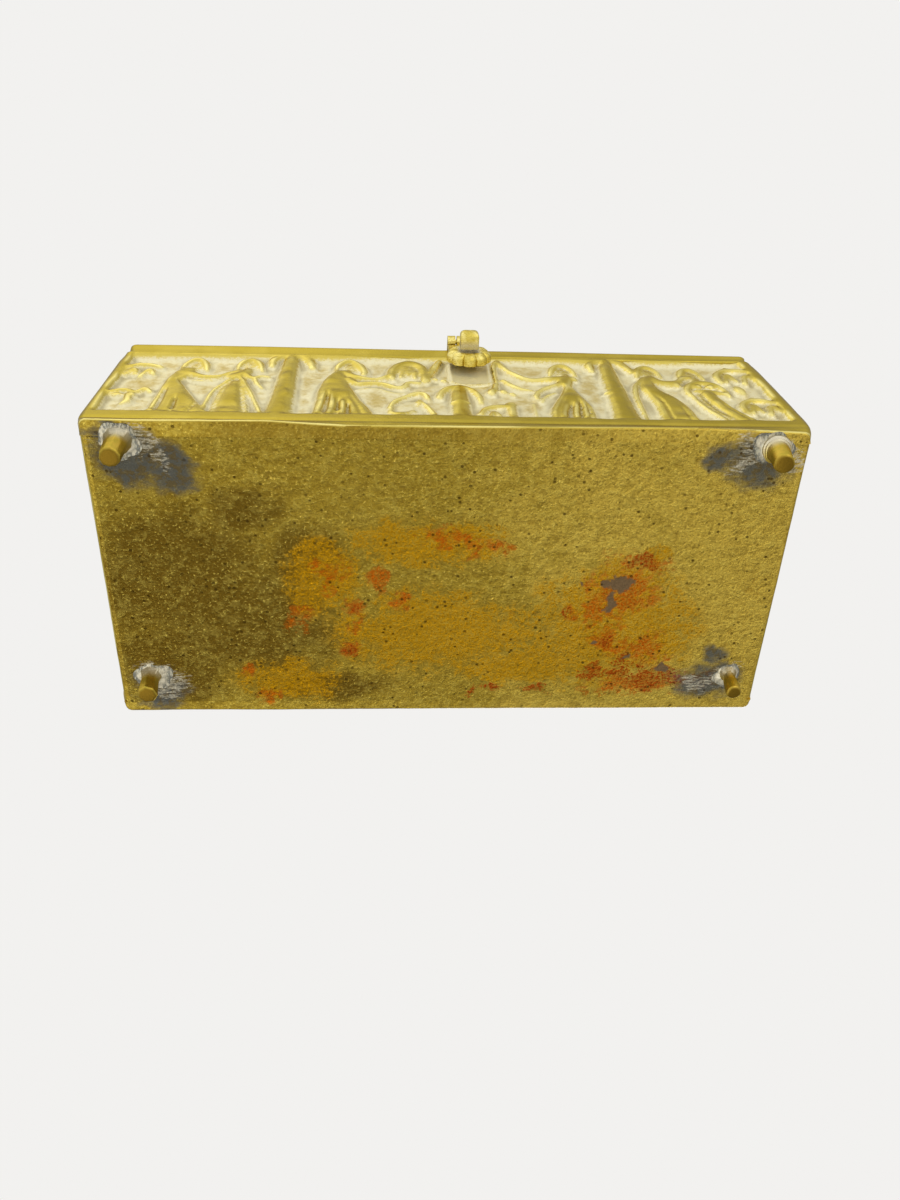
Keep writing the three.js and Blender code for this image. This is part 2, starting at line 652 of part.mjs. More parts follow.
function lidSolid() {
  const outline = roundedOutline(lidLength, bodyDepth, cornerRadius);
  const straight = prism(outline, lidBottom, lidTop - lidEdgeRadius, 4);
  const options = { depth: lidHeight - 2 * lidEdgeRadius, bevelEnabled: true, bevelThickness: lidEdgeRadius };
  const soft = new THREE.ExtrudeGeometry(outline, {
    ...options, bevelSize: lidEdgeRadius, bevelOffset: -lidEdgeRadius, bevelSegments: 2, curveSegments: 4,
  });
  const capped = solid(soft, shift(0, 0, lidBottom + lidEdgeRadius)).add(straight);
  const hollow = [lidLength / 2 - lidRimThickness, bodyDepth / 2 - lidRimThickness];
  const edge = [lidLength / 2 - lidBand, bodyDepth / 2 - lidBand];
  const shell = capped
    .subtract(block(-hollow[0], hollow[0], -hollow[1], hollow[1], 0, lidTop - lidThickness))
    .subtract(block(-edge[0], edge[0], -edge[1], edge[1], lidTop - lidReliefSunk, far));
  const field = { left: -edge[0], right: edge[0], low: -edge[1], high: edge[1] };
  const pad = {
    left: haspHingeOffset - haspLeafWidth / 2 - padMargin,
    right: haspHingeOffset + haspLeafWidth / 2 + padMargin,
    back: frontFace + haspLeafLength + padMargin,
  };
  const padBlock = block(pad.left, pad.right, frontFace + lidBand / 2, pad.back, lidTop - lidPadSeat, lidTop);
  const clearing = block(pad.left, pad.right, frontFace, pad.back, 0, far);
  const relief = picture(lidFrieze, lidDrawing, field, lidReliefSunk).translate(0, 0, lidTop);
  let whole = shell.add(relief.subtract(clearing)).add(padBlock);
  for (const offset of studOffsets) {
    whole = whole.subtract(studHole(offset, rearFace, lidStudLevel, rearward, hingeLeafThickness));
  }
  for (const y of haspStudLines) {
    whole = whole.subtract(studHole(haspHingeOffset, y, lidTop, outward, haspLeafThickness));
  }
  return whole;
}

const rearward = new THREE.Vector3(0, 1, 0);
const lidStudLevel = (hingeAxisLevel + hingeKnuckleRadius + pieceGap + lidLeafTop) / 2;
const haspStudLines = haspStudShares.map((part) => frontFace + haspLeafLength * part);
add(body, 'lid', geometryOf(lidSolid()), finish(brass.lid, 0.42));

// Lid hinges: body leaf with two end knuckles, lid leaf with the middle knuckle, and the pin

const hingeY = rearFace + hingeAxisReach;
const leafNear = rearFace + pieceGap;
const leafFar = leafNear + hingeLeafThickness;
const boreRadius = hingePinRadius + runningClearance;
const middleKnuckle = hingeWidth - 2 * hingeKnuckleWidth - 2 * pieceGap;

function bodyLeaf(x) {
  const half = hingeWidth / 2;
  const shoulder = hingeAxisLevel - hingeKnuckleRadius - pieceGap;
  let leaf = block(x - half, x + half, leafNear, leafFar, wallTop - bodyLeafDrop, shoulder);
  for (const side of [-1, 1]) {
    const centre = x + side * (half - hingeKnuckleWidth / 2);
    const [from, to] = [centre - hingeKnuckleWidth / 2, centre + hingeKnuckleWidth / 2];
    leaf = leaf.add(block(from, to, leafNear, leafFar, shoulder - 1, hingeAxisLevel));
    leaf = leaf.add(bar(hingeKnuckleRadius, hingeKnuckleWidth, centre, hingeY, hingeAxisLevel, round.fine));
  }
  leaf = leaf.subtract(bar(boreRadius, hingeWidth * 2, x, hingeY, hingeAxisLevel, round.plain));
  for (const side of [-1, 1]) {
    const hole = x + (side * hingeStudSpacing) / 2;
    leaf = leaf.subtract(studHole(hole, rearFace, footHeight + bodyStudLevel, rearward, hingeLeafThickness));
  }
  return leaf;
}

function lidLeaf(x) {
  const half = hingeWidth / 2;
  const shoulder = hingeAxisLevel + hingeKnuckleRadius + pieceGap;
  let leaf = block(x - half, x + half, leafNear, leafFar, shoulder, lidLeafTop);
  const neck = middleKnuckle / 2;
  leaf = leaf.add(block(x - neck, x + neck, leafNear, leafFar, hingeAxisLevel, shoulder + 1));
  leaf = leaf.add(bar(hingeKnuckleRadius, middleKnuckle, x, hingeY, hingeAxisLevel, round.fine));
  leaf = leaf.subtract(bar(boreRadius, hingeWidth * 2, x, hingeY, hingeAxisLevel, round.plain));
  for (const side of [-1, 1]) {
    const hole = x + (side * hingeStudSpacing) / 2;
    leaf = leaf.subtract(studHole(hole, rearFace, lidStudLevel, rearward, hingeLeafThickness));
  }
  return leaf;
}

function stud(name, x, y, z, axis, leafThickness) {
  const mesh = add(body, name, studGeometry(leafThickness), finish(brass.hinge, 0.4));
  mesh.position.set(x, y, z);
  mesh.quaternion.setFromUnitVectors(new THREE.Vector3(0, 1, 0), axis);
}

for (const [side, x] of [['left', -hingeOffset], ['right', hingeOffset]]) {
  add(body, `hinge_body_leaf_${side}`, geometryOf(bodyLeaf(x)), finish(brass.hinge, 0.4));
  add(body, `hinge_lid_leaf_${side}`, geometryOf(lidLeaf(x)), finish(brass.hinge, 0.4));
  const pin = bar(hingePinRadius, hingeWidth, x, hingeY, hingeAxisLevel, round.plain);
  add(body, `hinge_pin_${side}`, geometryOf(pin), finish(brass.foot, 0.4));
  for (const [end, step] of [['outer', Math.sign(x)], ['inner', -Math.sign(x)]]) {
    const studX = x + (step * hingeStudSpacing) / 2;
    for (const [part, level] of [['body', footHeight + bodyStudLevel], ['lid', lidStudLevel]]) {
      stud(`${part}_stud_${side}_${end}`, studX, leafFar, level, rearward, hingeLeafThickness);
    }
  }
}

// Hasp: leaf on the lid, pin, plate with its rosette, and the lug on the rosette

const haspY = frontFace - haspAxisReach;
const haspBore = haspPinRadius + runningClearance;
const haspEnd = (haspLeafWidth - haspKnuckleWidth - 2 * pieceGap) / 2;

function haspLeafSolid() {
  const half = haspLeafWidth / 2;
  const [low, high] = [lidTop + pieceGap, lidTop + pieceGap + haspLeafThickness];
  const plateEdge = haspY + haspKnuckleRadius + pieceGap;
  const x = haspHingeOffset;
  let leaf = block(x - half, x + half, plateEdge, frontFace + haspLeafLength, low, high);
  for (const side of [-1, 1]) {
    const centre = x + side * (half - haspEnd / 2);
    leaf = leaf.add(block(centre - haspEnd / 2, centre + haspEnd / 2, haspY, plateEdge + 1, low, high));
    leaf = leaf.add(bar(haspKnuckleRadius, haspEnd, centre, haspY, haspAxisLevel, round.fine));
  }
  leaf = leaf.subtract(bar(haspBore, haspLeafWidth * 2, x, haspY, haspAxisLevel, round.plain));
  for (const y of haspStudLines) {
    leaf = leaf.subtract(studHole(x, y, lidTop, outward, haspLeafThickness));
  }
  return leaf;
}

function rosetteShape() {
  const shape = new THREE.Shape();
  const steps = rosetteLobes * 4;
  for (let k = 0; k < steps; k += 1) {
    const turn = (k / steps) * Math.PI * 2;
    const phase = Math.abs(Math.sin((k / 4) * Math.PI));
    const radius = rosetteRadius - lobeDepth * (1 - phase);
    const [x, y] = [Math.sin(turn) * radius, -Math.cos(turn) * radius];
    if (k === 0) shape.moveTo(x, y);
    else shape.lineTo(x, y);
  }
  shape.closePath();
  return shape;
}

function haspPlateSolid() {
  const near = frontFace - pieceGap;
  const options = { depth: rosetteThickness - rosetteBevel, ...chamfer(rosetteBevel) };
  const disc = new THREE.ExtrudeGeometry(rosetteShape(), options);
  const facing = new THREE.Matrix4().makeRotationX(Math.PI / 2);
  const place = shift(haspOffset, near, rosetteLevel).multiply(facing);
  const back = block(-far, far, near, far, -far, far);
  const rosette = solid(disc, place).subtract(back);
  const half = haspLeafWidth / 2;
  const shoulder = haspAxisLevel - haspKnuckleRadius - pieceGap;
  const x = haspHingeOffset;
  const strap = block(x - half, x + half, near - strapThickness, near, rosetteLevel, shoulder);
  const neckHalf = haspKnuckleWidth / 2;
  const neck = block(x - neckHalf, x + neckHalf, near - strapThickness, near, shoulder - 1, haspAxisLevel);
  const knuckle = bar(haspKnuckleRadius, haspKnuckleWidth, x, haspY, haspAxisLevel, round.fine);
  const bore = bar(haspBore, haspLeafWidth * 2, x, haspY, haspAxisLevel, round.plain);
  return rosette.add(strap).add(neck).add(knuckle).subtract(bore);
}

function lugShape() {
  const shape = new THREE.Shape();
  const [w, r] = [lugWidth / 2, lugCornerRadius];
  shape.moveTo(-w, 0);
  shape.lineTo(w, 0);
  shape.lineTo(w, lugReach - r);
  shape.absarc(w - r, lugReach - r, r, 0, Math.PI / 2);
  shape.absarc(-w + r, lugReach - r, r, Math.PI / 2, Math.PI);
  shape.closePath();
  return shape;
}

add(body, 'hasp_leaf', geometryOf(haspLeafSolid()), finish(brass.hasp, 0.38));
const haspPin = bar(haspPinRadius, haspLeafWidth, haspHingeOffset, haspY, haspAxisLevel, round.coarse);
add(body, 'hasp_pin', geometryOf(haspPin), finish(brass.foot, 0.4));
add(body, 'hasp_plate', geometryOf(haspPlateSolid()), finish(brass.hasp, 0.35));
const lugOptions = { depth: lugHeight, bevelEnabled: false, curveSegments: 4 };
const lugGeometry = new THREE.ExtrudeGeometry(lugShape(), lugOptions);
const lug = add(body, 'hasp_lug', lugGeometry, finish(brass.hasp, 0.35));
lug.position.set(haspOffset, frontFace - 2 * pieceGap - rosetteThickness, rosetteLevel + lugHeight / 2);
lug.rotation.x = Math.PI;
const leafTop = lidTop + pieceGap + haspLeafThickness;
stud('hasp_stud_front', haspHingeOffset, haspStudLines[0], leafTop, outward, haspLeafThickness);
stud('hasp_stud_rear', haspHingeOffset, haspStudLines[1], leafTop, outward, haspLeafThickness);

export default group;
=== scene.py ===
"""Cast brass casket: relief walls and lid, feet soldered to the bottom plate, lid hinges and a hasp.

Laid out as a Blender add-on. Run as a script it models every piece round the loaded frame, dresses it and
sets the stage. Sizes in the code are millimetres; a property's default is metres, as Blender keeps it.
"""

import math

import bpy
import numpy as np
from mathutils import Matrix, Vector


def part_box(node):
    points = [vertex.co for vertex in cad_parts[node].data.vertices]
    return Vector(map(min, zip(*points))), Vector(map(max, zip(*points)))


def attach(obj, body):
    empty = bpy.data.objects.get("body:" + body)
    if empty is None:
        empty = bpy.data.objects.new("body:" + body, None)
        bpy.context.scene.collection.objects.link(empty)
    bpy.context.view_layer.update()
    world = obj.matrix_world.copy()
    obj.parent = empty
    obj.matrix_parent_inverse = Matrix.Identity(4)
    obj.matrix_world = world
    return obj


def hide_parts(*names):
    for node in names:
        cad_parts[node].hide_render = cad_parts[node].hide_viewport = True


bl_info = {
    "name": "Cast Brass Casket",
    "version": (1, 0, 0),
    "blender": (4, 5, 0),
    "location": "3D View > Sidebar > Casket",
    "description": "Models a cast brass casket with relief walls, a hinged lid and a hasp",
    "category": "Object",
}

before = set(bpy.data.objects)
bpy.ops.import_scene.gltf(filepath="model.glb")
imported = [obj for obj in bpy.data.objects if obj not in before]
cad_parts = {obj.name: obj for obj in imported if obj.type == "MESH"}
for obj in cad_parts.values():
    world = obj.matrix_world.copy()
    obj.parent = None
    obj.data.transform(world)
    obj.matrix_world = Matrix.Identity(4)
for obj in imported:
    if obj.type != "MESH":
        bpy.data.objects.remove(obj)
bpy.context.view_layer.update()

MM = 1000.0


def span(node):
    """Lowest and highest corner of a CAD node, in mm"""
    low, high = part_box(node)
    return np.array(low) * MM, np.array(high) * MM


FRONT_LOW, FRONT_HIGH = span("front_panel")
REAR_HIGH = span("rear_panel")[1]
LEFT_LOW = span("left_end_panel")[0]
RIGHT_HIGH = span("right_end_panel")[1]
LID_LOW, LID_HIGH = span("lid")
PLATE_LOW, PLATE_HIGH = span("bottom_plate")
LOCK_LOW, LOCK_HIGH = span("lock_plate")

LENGTH = FRONT_HIGH[0] - FRONT_LOW[0]
LID_LENGTH = LID_HIGH[0] - LID_LOW[0]
WALL_FOOT = FRONT_LOW[2]
WALL_HEIGHT = FRONT_HIGH[2] - FRONT_LOW[2]
WALL_THICK = FRONT_HIGH[1] - FRONT_LOW[1]
DEPTH = REAR_HIGH[1] - FRONT_LOW[1]
MIDDLE_Y = (REAR_HIGH[1] + FRONT_LOW[1]) / 2

# Radius of the walls' upper edges, in mm
RIM_ROUND = 0.5
# Radius of edges that meet another piece, in mm
TIGHT_ROUND = 0.2
# Lower and upper edge of the walls' pictures over the wall's foot, in mm
PICTURE_LOW, PICTURE_HIGH = 10.8, 62
# Level of a wall's inner lower edge over the bottom plate's face, in mm
FLUSH = 0.02
# How far a point may lie past a level and still count as lying on it, in mm
LEVEL_SLACK = 0.05
# Height over a wall's lower edge up to which its face counts as facing down, in mm
FOOT_BAND = 0.35
# How far the bottom plate's edges reach into the walls, in mm
TUCK = 0.05

# How far the front wall's lower edge stands out of its face: x, mm
EDGE_WANDER = (
    (-105, 0.9), (-88, 0.75), (-53, 1.1), (-30, -0.1), (2, 0), (27, 0.15), (73, 0.55), (88, 0), (103, -0.7),
)
# How far the lid's front edge has sunk: x, mm
LID_SAG = ((-105, 0.3), (-62, 0), (-14, 0.9), (40, 1.1), (93, 2.1), (105, 2.3))


def linear(value):
    """An sRGB hex colour as linear light"""
    parts = [int(value[i:i + 2], 16) / 255 for i in (1, 3, 5)]
    return tuple(c / 12.92 if c <= 0.04045 else ((c + 0.055) / 1.055) ** 2.4 for c in parts)


def length_property(name, description, default_mm):
    return bpy.props.FloatProperty(
        name=name, description=description, default=default_mm / MM, min=0, subtype="DISTANCE", unit="LENGTH",
    )


def colour_property(name, description, value):
    return bpy.props.FloatVectorProperty(
        name=name, description=description, default=linear(value), size=3, min=0, max=1, subtype="COLOR",
    )


class CasketSizes(bpy.types.PropertyGroup):
    wall_step: length_property("Wall step", "Spacing of the front wall's surface points", 0.45)
    side_step: length_property("Side step", "Spacing of the surface points of the rear wall and ends", 0.6)
    plate_step: length_property("Plate step", "Spacing of the bottom plate's surface points", 0.62)
    lid_step: length_property("Lid step", "Spacing of the lid's surface points", 0.64)
    relief: length_property("Relief", "Height of the wall relief over its ground", 2.3)
    lid_relief: length_property("Lid relief", "Height of the lid relief over its ground", 1.4)
    corner_round: length_property("Corner rounding", "Radius of the upright corners", 2)
    foot_round: length_property("Lower rounding", "Radius of the walls' lower edges", 0.7)
    lid_round: length_property("Lid rounding", "Radius of the lid's upper edge", 1.6)
    lid_rim: length_property("Lid rim", "Thickness of the lid's rim", 3.8)
    lid_skin: length_property("Lid thickness", "Thickness of the lid's top", 3)
    seam: length_property("Plate seam", "Depth of the seam along the bottom plate's front edge", 0.3)


class CasketColours(bpy.types.PropertyGroup):
    # Brass and Pale brass: on the relief, the broad tops of the raised forms take the darker brass and their
    # flanks the pale brass as painted reflection, broken up by random patches
    brass: colour_property("Brass", "Handled yellow brass of the raised relief", "#B9A43F")
    brass_pale: colour_property("Pale brass", "Lighter patches of the raised relief", "#D2BD58")
    # Worn brass: on the relief, rubbed wear on crests and edges mixed with painted highlight along the
    # crests, the lower edge and the lower band's ridge; on the fittings, rubbed wear only
    wear_and_highlight: colour_property("Worn brass", "Edges rubbed bright", "#F3E491")
    ground: colour_property("Ground", "Pale polish residue on the relief's ground", "#FBF2C6")
    ground_warm: colour_property("Warm ground", "Brass that shows through the residue", "#D6BE68")
    # Crease colour: painted shade in the relief's creases, mixed with real tarnish there
    shade: colour_property("Crease", "Tarnish in the creases of the relief", "#8C782A")
    crease: colour_property("Tarnish", "Dark tarnish on the underside and the fittings", "#5F4915")
    plate_left: colour_property("Brown plate", "Darker cast skin at the plate's left", "#745B1B")
    plate_middle: colour_property("Olive plate", "Olive brass of the plate's middle", "#A88D30")
    plate_right: colour_property("Pale plate", "Lighter brass of the plate's right", "#CAAC46")
    rust: colour_property("Rust", "Orange stain", "#BA5F0E")
    red: colour_property("Red stain", "Red-brown copper stain", "#A0480F")
    yellow: colour_property("Yellow stain", "Yellow-orange stain", "#BC8A0C")
    scorch: colour_property("Scorch", "Blue-grey halo of the soldering heat", "#565A58")
    scale_grey: colour_property("Scale", "Grey patch of mill scale", "#7A6242")
    solder: colour_property("Solder", "Dull tin solder", "#CFC7AE")
    tin_white: colour_property("Bright solder", "Bright crust on the solder", "#F1EBCE")
    pit: colour_property("Pit", "Dirt in the casting pits", "#4B3810")


def mm(value):
    return value * MM


def hashed(i, j, seed):
    """A fixed number from -1 to 1 for each lattice point"""
    mixed = (i * 374761393 + j * 668265263 + seed * 2147483647) & 0xFFFFFFFF
    mixed = ((mixed ^ (mixed >> 13)) * 1274126177) & 0xFFFFFFFF
    return ((mixed ^ (mixed >> 16)) & 0xFFFF) / 32767.5 - 1


def ripple(u, v, cell, seed):
    """Smooth noise from -1 to 1 whose bumps are about one cell wide, in mm"""
    x, y = u / cell + 1000.0, v / cell + 1000.0
    i, j = np.floor(x).astype(np.int64), np.floor(y).astype(np.int64)
    fx, fy = x - i, y - j
    fx, fy = fx * fx * (3 - 2 * fx), fy * fy * (3 - 2 * fy)
    low = hashed(i, j, seed) * (1 - fx) + hashed(i + 1, j, seed) * fx
    high = hashed(i, j + 1, seed) * (1 - fx) + hashed(i + 1, j + 1, seed) * fx
    return low * (1 - fy) + high * fy


def belly(v):
    """How far the upright corners and ends lie inside the widest part of the box, at a height on its wall"""
    foot = 2.3 * np.clip(1 - v / 10, 0, 1) ** 2.2
    rim = 0.75 * np.clip((v - 54) / 10, 0, 1) ** 1.5
    return foot + rim


def smooth(x):
    x = np.clip(x, 0, 1)
    return x * x * (3 - 2 * x)


def softened(heights, passes):
    """The height field rounded off, as wax and casting round it"""
    for _ in range(passes):
        rows = heights.copy()
        rows[1:-1] = (heights[:-2] + 2 * heights[1:-1] + heights[2:]) / 4
        columns = rows.copy()
        columns[:, 1:-1] = (rows[:, :-2] + 2 * rows[:, 1:-1] + rows[:, 2:]) / 4
        heights = columns
    return heights


def curve_through(points, steps=8):
    """A smooth curve through given points of (u, v, half width, height)"""
    given = np.array(points, float)
    given = np.vstack([2 * given[0] - given[1], given, 2 * given[-1] - given[-2]])
    made = []
    for a, b, c, d in zip(given, given[1:], given[2:], given[3:]):
        for s in np.linspace(0, 1, steps, endpoint=False):
            made.append(b + 0.5 * s * (c - a + s * (2 * a - 5 * b + 4 * c - d + s * (3 * (b - c) + d - a))))
    made.append(given[-2])
    return np.array(made)


class Drawing:
    """Relief modelled as heights over the ground, in mm: u to the right and v up, as seen from outside"""

    # Half width of a ridge at its foot, as a share of the half width it is drawn with
    FLANK = 1.42

    def __init__(self, us, vs):
        self.us, self.vs = us, vs
        self.u, self.v = np.meshgrid(us, vs)
        self.heights = np.zeros_like(self.u)
        self.shift = 0.0
        self.mirror = 1

    def at(self, shift, mirror=1):
        """Moves what is drawn next; a mirror of -1 turns it about its own zero line first"""
        self.shift, self.mirror = shift, mirror
        return self

    def across(self, u):
        return self.mirror * u + self.shift

    def window(self, u0, u1, v0, v1):
        i0, i1 = np.searchsorted(self.us, [min(u0, u1), max(u0, u1)])
        j0, j1 = np.searchsorted(self.vs, [v0, v1])
        return slice(j0, j1), slice(i0, i1)

    def blend(self, where, shape, soft):
        old = self.heights[where]
        near = np.clip(soft - np.abs(old - shape), 0, None) / soft
        self.heights[where] = np.maximum(old, shape) + np.where(shape > 0.02, near * near * soft / 4, 0)

    def stroke(self, points, soft=0.5):
        """A rounded ridge along a curve"""
        path = curve_through([(self.across(u), v, wide, tall) for u, v, wide, tall in points])
        reach = path[:, 2].max() * self.FLANK + 1
        low, high = path[:, :2].min(0) - reach, path[:, :2].max(0) + reach
        where = self.window(low[0], high[0], low[1], high[1])
        u, v = self.u[where], self.v[where]
        best = np.zeros_like(u)
        for a, b in zip(path[:-1], path[1:]):
            run = b[:2] - a[:2]
            t = np.clip(((u - a[0]) * run[0] + (v - a[1]) * run[1]) / max(run @ run, 1e-9), 0, 1)
            apart = np.hypot(u - a[0] - t * run[0], v - a[1] - t * run[1])
            wide = np.maximum(self.FLANK * (a[2] + t * (b[2] - a[2])), 1e-3)
            tall = a[3] + t * (b[3] - a[3])
            best = np.maximum(best, tall * (1 - np.clip(apart / wide, 0, 1) ** 2) ** 0.7)
        self.blend(where, best, soft)

    def lobe(self, u, v, wide, high, tall, turn=0.0, soft=0.5):
        """A rounded swelling on an ellipse"""
        u, turn = self.across(u), turn * self.mirror
        reach = max(wide, high) + 1
        where = self.window(u - reach, u + reach, v - reach, v + reach)
        du, dv = self.u[where] - u, self.v[where] - v
        x = (du * math.cos(turn) + dv * math.sin(turn)) / wide
        y = (dv * math.cos(turn) - du * math.sin(turn)) / high
        self.blend(where, tall * np.sqrt(np.clip(1 - x * x - y * y, 0, 1)), soft)

    def cloth(self, levels, grooves=(), tall=2.2):
        """A hanging gown with a full, rounded front. levels: (v, left, right) from the hem up; grooves:
        (share of the width at the top, share at the hem, half width, share of the height cut away,
        level of its end)"""
        rows = curve_through([(v, self.across(a), self.across(b), 0) for v, a, b in levels])
        rows[:, 1:3] = np.sort(rows[:, 1:3], axis=1)
        low, high = rows[0, 0], rows[-1, 0]
        where = self.window(rows[:, 1].min() - 1, rows[:, 2].max() + 1, low - 1, high + 1)
        u, v = self.u[where], self.v[where]
        left = np.interp(v, rows[:, 0], rows[:, 1])
        right = np.interp(v, rows[:, 0], rows[:, 2])
        reach = np.clip((right - left) * 0.36, 0.6, 3.4)
        inside = np.clip(np.minimum(u - left, right - u) / reach, 0, 1)
        shape = tall * np.sqrt(1 - (1 - inside) ** 2)
        for top, hem, wide, deep, end in grooves:
            climb = np.clip((v - low) / (end - low), 0, 1)
            share = hem + (top - hem) * climb
            if self.mirror < 0:
                share = 1 - share
            away = (u - left - share * (right - left)) / (wide * (1.15 - 0.7 * climb))
            shape = shape * (1 - deep * smooth(3 - 3 * climb) * np.exp(-away ** 4))
        fade = np.sqrt(smooth((high + 0.6 - v) / 2.2) * smooth((v - low + 0.8) / 1.2))
        self.blend(where, shape * fade, 0.4)


def head(draw, u, v, wide, high, look=1):
    """A bent head without a face: a hood of hair that arches over a smooth lower oval"""
    draw.lobe(u + look * 0.1 * wide, v - 0.15 * high, wide * 0.85, high * 0.85, 1.45)
    hood = [(-0.9, -0.75, 0.8, 1.7), (-0.8, 0.1, 1.1, 2.1), (-0.25, 0.7, 1.5, 2.3), (0.4, 0.6, 1.5, 2.3),
            (0.85, -0.1, 1.2, 2.1), (1.1, -0.8, 0.7, 1.6)]
    draw.stroke([(u + look * a * wide, v + b * high, thick, tall) for a, b, thick, tall in hood])
    draw.stroke([(u - look * 0.4, v - 0.7 * high, 1.5, 1.7), (u - look * 0.7, v - 1.15 * high, 1.7, 1.9)])


def walker(draw):
    """Figure that walks to the right with one arm held out"""
    head(draw, 3, 54, 4, 6.4)
    draw.cloth(
        [(10.6, -5, 13.4), (16, -4.8, 11.4), (22, -4.7, 8.6), (28, -4.6, 6), (34, -4.4, 3.2), (40, -3.8, 0.6),
         (45, -2.6, 0)],
        [(0.3, 0.13, 0.6, 0.85, 36), (0.56, 0.4, 0.55, 0.8, 26), (0.95, 0.66, 0.4, 0.45, 22)],
    )
    draw.cloth([(38, -4, 0.6), (43, -3.6, 3.4), (47, -2.6, 4.4), (51, -0.6, 3)], tall=2.1)
    draw.stroke([(0, 46, 2.2, 2.1), (3.4, 45, 2.0, 2.2), (7, 43, 1.7, 2.1), (10.4, 42.6, 1.5, 2.1),
                 (13, 44, 1.4, 2.0), (15, 46.6, 1.4, 2.0), (17.4, 48.4, 1.3, 1.9)])
    draw.stroke([(3, 40.8, 0.8, 1.2), (7.6, 39.6, 0.9, 1.3), (11.6, 40.6, 0.7, 1.1), (14.6, 43, 0.6, 1.0)])
    for foot in (-3.4, 2.2, 11.6):
        draw.stroke([(foot - 2, 11, 0.7, 1.5), (foot, 13.2, 0.8, 1.8), (foot + 2, 11, 0.7, 1.5)])


def greeter(draw):
    """Figure in a cloak that hangs in arches over a plain gown, one hand raised"""
    head(draw, 0.8, 54.6, 3.9, 6.2)
    gown = [(10.4, -5.4, 4.2), (20, -5.2, 2.6), (28, -4.8, 1.2), (34, -4, 0.2), (38.5, -2.6, -1)]
    draw.cloth(gown, tall=2.2)
    for reach, top, height in ((0.0, 38.6, 1.6), (2.7, 42.6, 1.9)):
        arch = [(-5.6 - reach, 10, 0.75), (-5.4 - reach, 24, 0.8), (-4.6 - reach * 0.8, 33, 0.85),
                (-1.8, top, 1.0), (0.8 + reach * 0.6, 33, 0.85), (3 + reach, 22, 0.8),
                (4.9 + reach * 1.5, 10, 0.75)]
        draw.stroke([(u, v, wide, height) for u, v, wide in arch])
    draw.stroke([(-2.6, 43.4, 2.4, 2.2), (-0.4, 46, 2.2, 2.2), (0.4, 48.6, 1.7, 2.0)])
    draw.stroke([(0.6, 44.6, 1.5, 2.0), (3.2, 41.6, 1.2, 1.9), (5, 43.6, 1.1, 1.9), (7.6, 44, 1.0, 1.8)])
    draw.stroke([(3.8, 41, 0.9, 1.8), (4.8, 37.4, 0.9, 1.7), (6.6, 34, 0.7, 1.5)])


def bearer(draw):
    """Figure in a wide fanned gown that reaches out with both arms"""
    head(draw, 3.4, 54.2, 4.3, 6.8)
    draw.stroke([(7.2, 56, 1.2, 2.0), (8.4, 50.6, 1.2, 2.0), (8.2, 46.8, 1.0, 1.8)])
    draw.cloth(
        [(10.4, -6.3, 12.8), (18, -6, 10.6), (25, -5.8, 8), (32, -5.7, 6), (38, -5, 4.4), (44, -3.6, 3.2),
         (50, -0.6, 1.8)],
        [(0.32, 0.17, 0.75, 0.9, 32), (0.5, 0.38, 0.6, 0.85, 25), (0.66, 0.56, 0.6, 0.85, 23),
         (0.8, 0.78, 0.4, 0.3, 30)],
        2.3,
    )
    draw.stroke([(2, 48.6, 1.8, 2.2), (5, 45, 1.7, 2.2), (9, 42.8, 1.4, 2.1), (12.4, 42.6, 1.2, 2.0),
                 (15, 44.8, 1.1, 2.0), (16.8, 48.2, 1.0, 1.9)])
    draw.stroke([(3.6, 42, 1.7, 2.1), (6.4, 38, 1.6, 2.0), (10, 38.6, 1.6, 2.1), (14.4, 38, 1.5, 2.1),
                 (18.4, 35.2, 1.3, 2.0), (20.8, 36, 1.2, 2.0), (22.4, 39.6, 1.3, 2.0), (25.4, 40, 1.2, 1.9)])
    draw.stroke([(6.4, 34, 0.5, 1.2), (9.4, 35, 0.6, 1.3), (13.4, 34.6, 0.6, 1.3), (17.4, 31.6, 0.6, 1.2),
                 (21.4, 31.6, 0.5, 1.1)])
    for foot in (-4.2, 1.6):
        draw.stroke([(foot - 1.8, 11.4, 0.7, 1.4), (foot, 13.8, 0.8, 1.7), (foot + 1.8, 11.4, 0.7, 1.4)])


def dancer(draw):
    """Figure in a flaring gown with flying drapery, a long arm reaching up and away"""
    head(draw, 0.4, 53.6, 4.1, 6.4, -1)
    draw.stroke([(2.4, 45.6, 1.9, 2.3), (-1.6, 45.9, 1.9, 2.3), (-6.4, 44.6, 1.7, 2.2),
                 (-10.6, 44.2, 1.5, 2.1), (-13.8, 46.4, 1.4, 2.1), (-16.4, 50.8, 1.3, 2.0),
                 (-18.6, 56, 1.2, 1.9), (-20.4, 62, 1.2, 1.8)])
    draw.cloth(
        [(10.6, -9, 5.2), (16, -8.8, 5.4), (21, -7.4, 5.4), (27, -5.2, 4.4), (33, -3, 3), (38, -1.6, 1.8),
         (42, -3, 2.6), (46, -2.6, 3.2)],
        [(0.5, 0.42, 0.8, 0.9, 25), (0.72, 0.66, 0.55, 0.85, 29), (0.86, 0.85, 0.45, 0.75, 24),
         (0.3, 0.2, 0.4, 0.25, 34)],
        2.3,
    )
    draw.stroke([(-1.6, 41.4, 1.3, 2.0), (-5.4, 38.4, 1.3, 2.0), (-8.6, 35.2, 1.2, 1.9),
                 (-10.6, 31, 1.1, 1.8), (-10.8, 27.4, 0.9, 1.5)])
    draw.stroke([(-4.4, 33.4, 0.8, 1.5), (-7.8, 29.8, 0.8, 1.6), (-9.6, 25.4, 0.7, 1.3)])
    draw.stroke([(-12.4, 24, 0.6, 1.1), (-12.6, 11, 0.6, 1.1)])
    for foot in (-6.6, 2.8):
        draw.stroke([(foot - 1.8, 11.4, 0.7, 1.4), (foot, 14.2, 0.8, 1.7), (foot + 1.4, 11.4, 0.7, 1.4)])


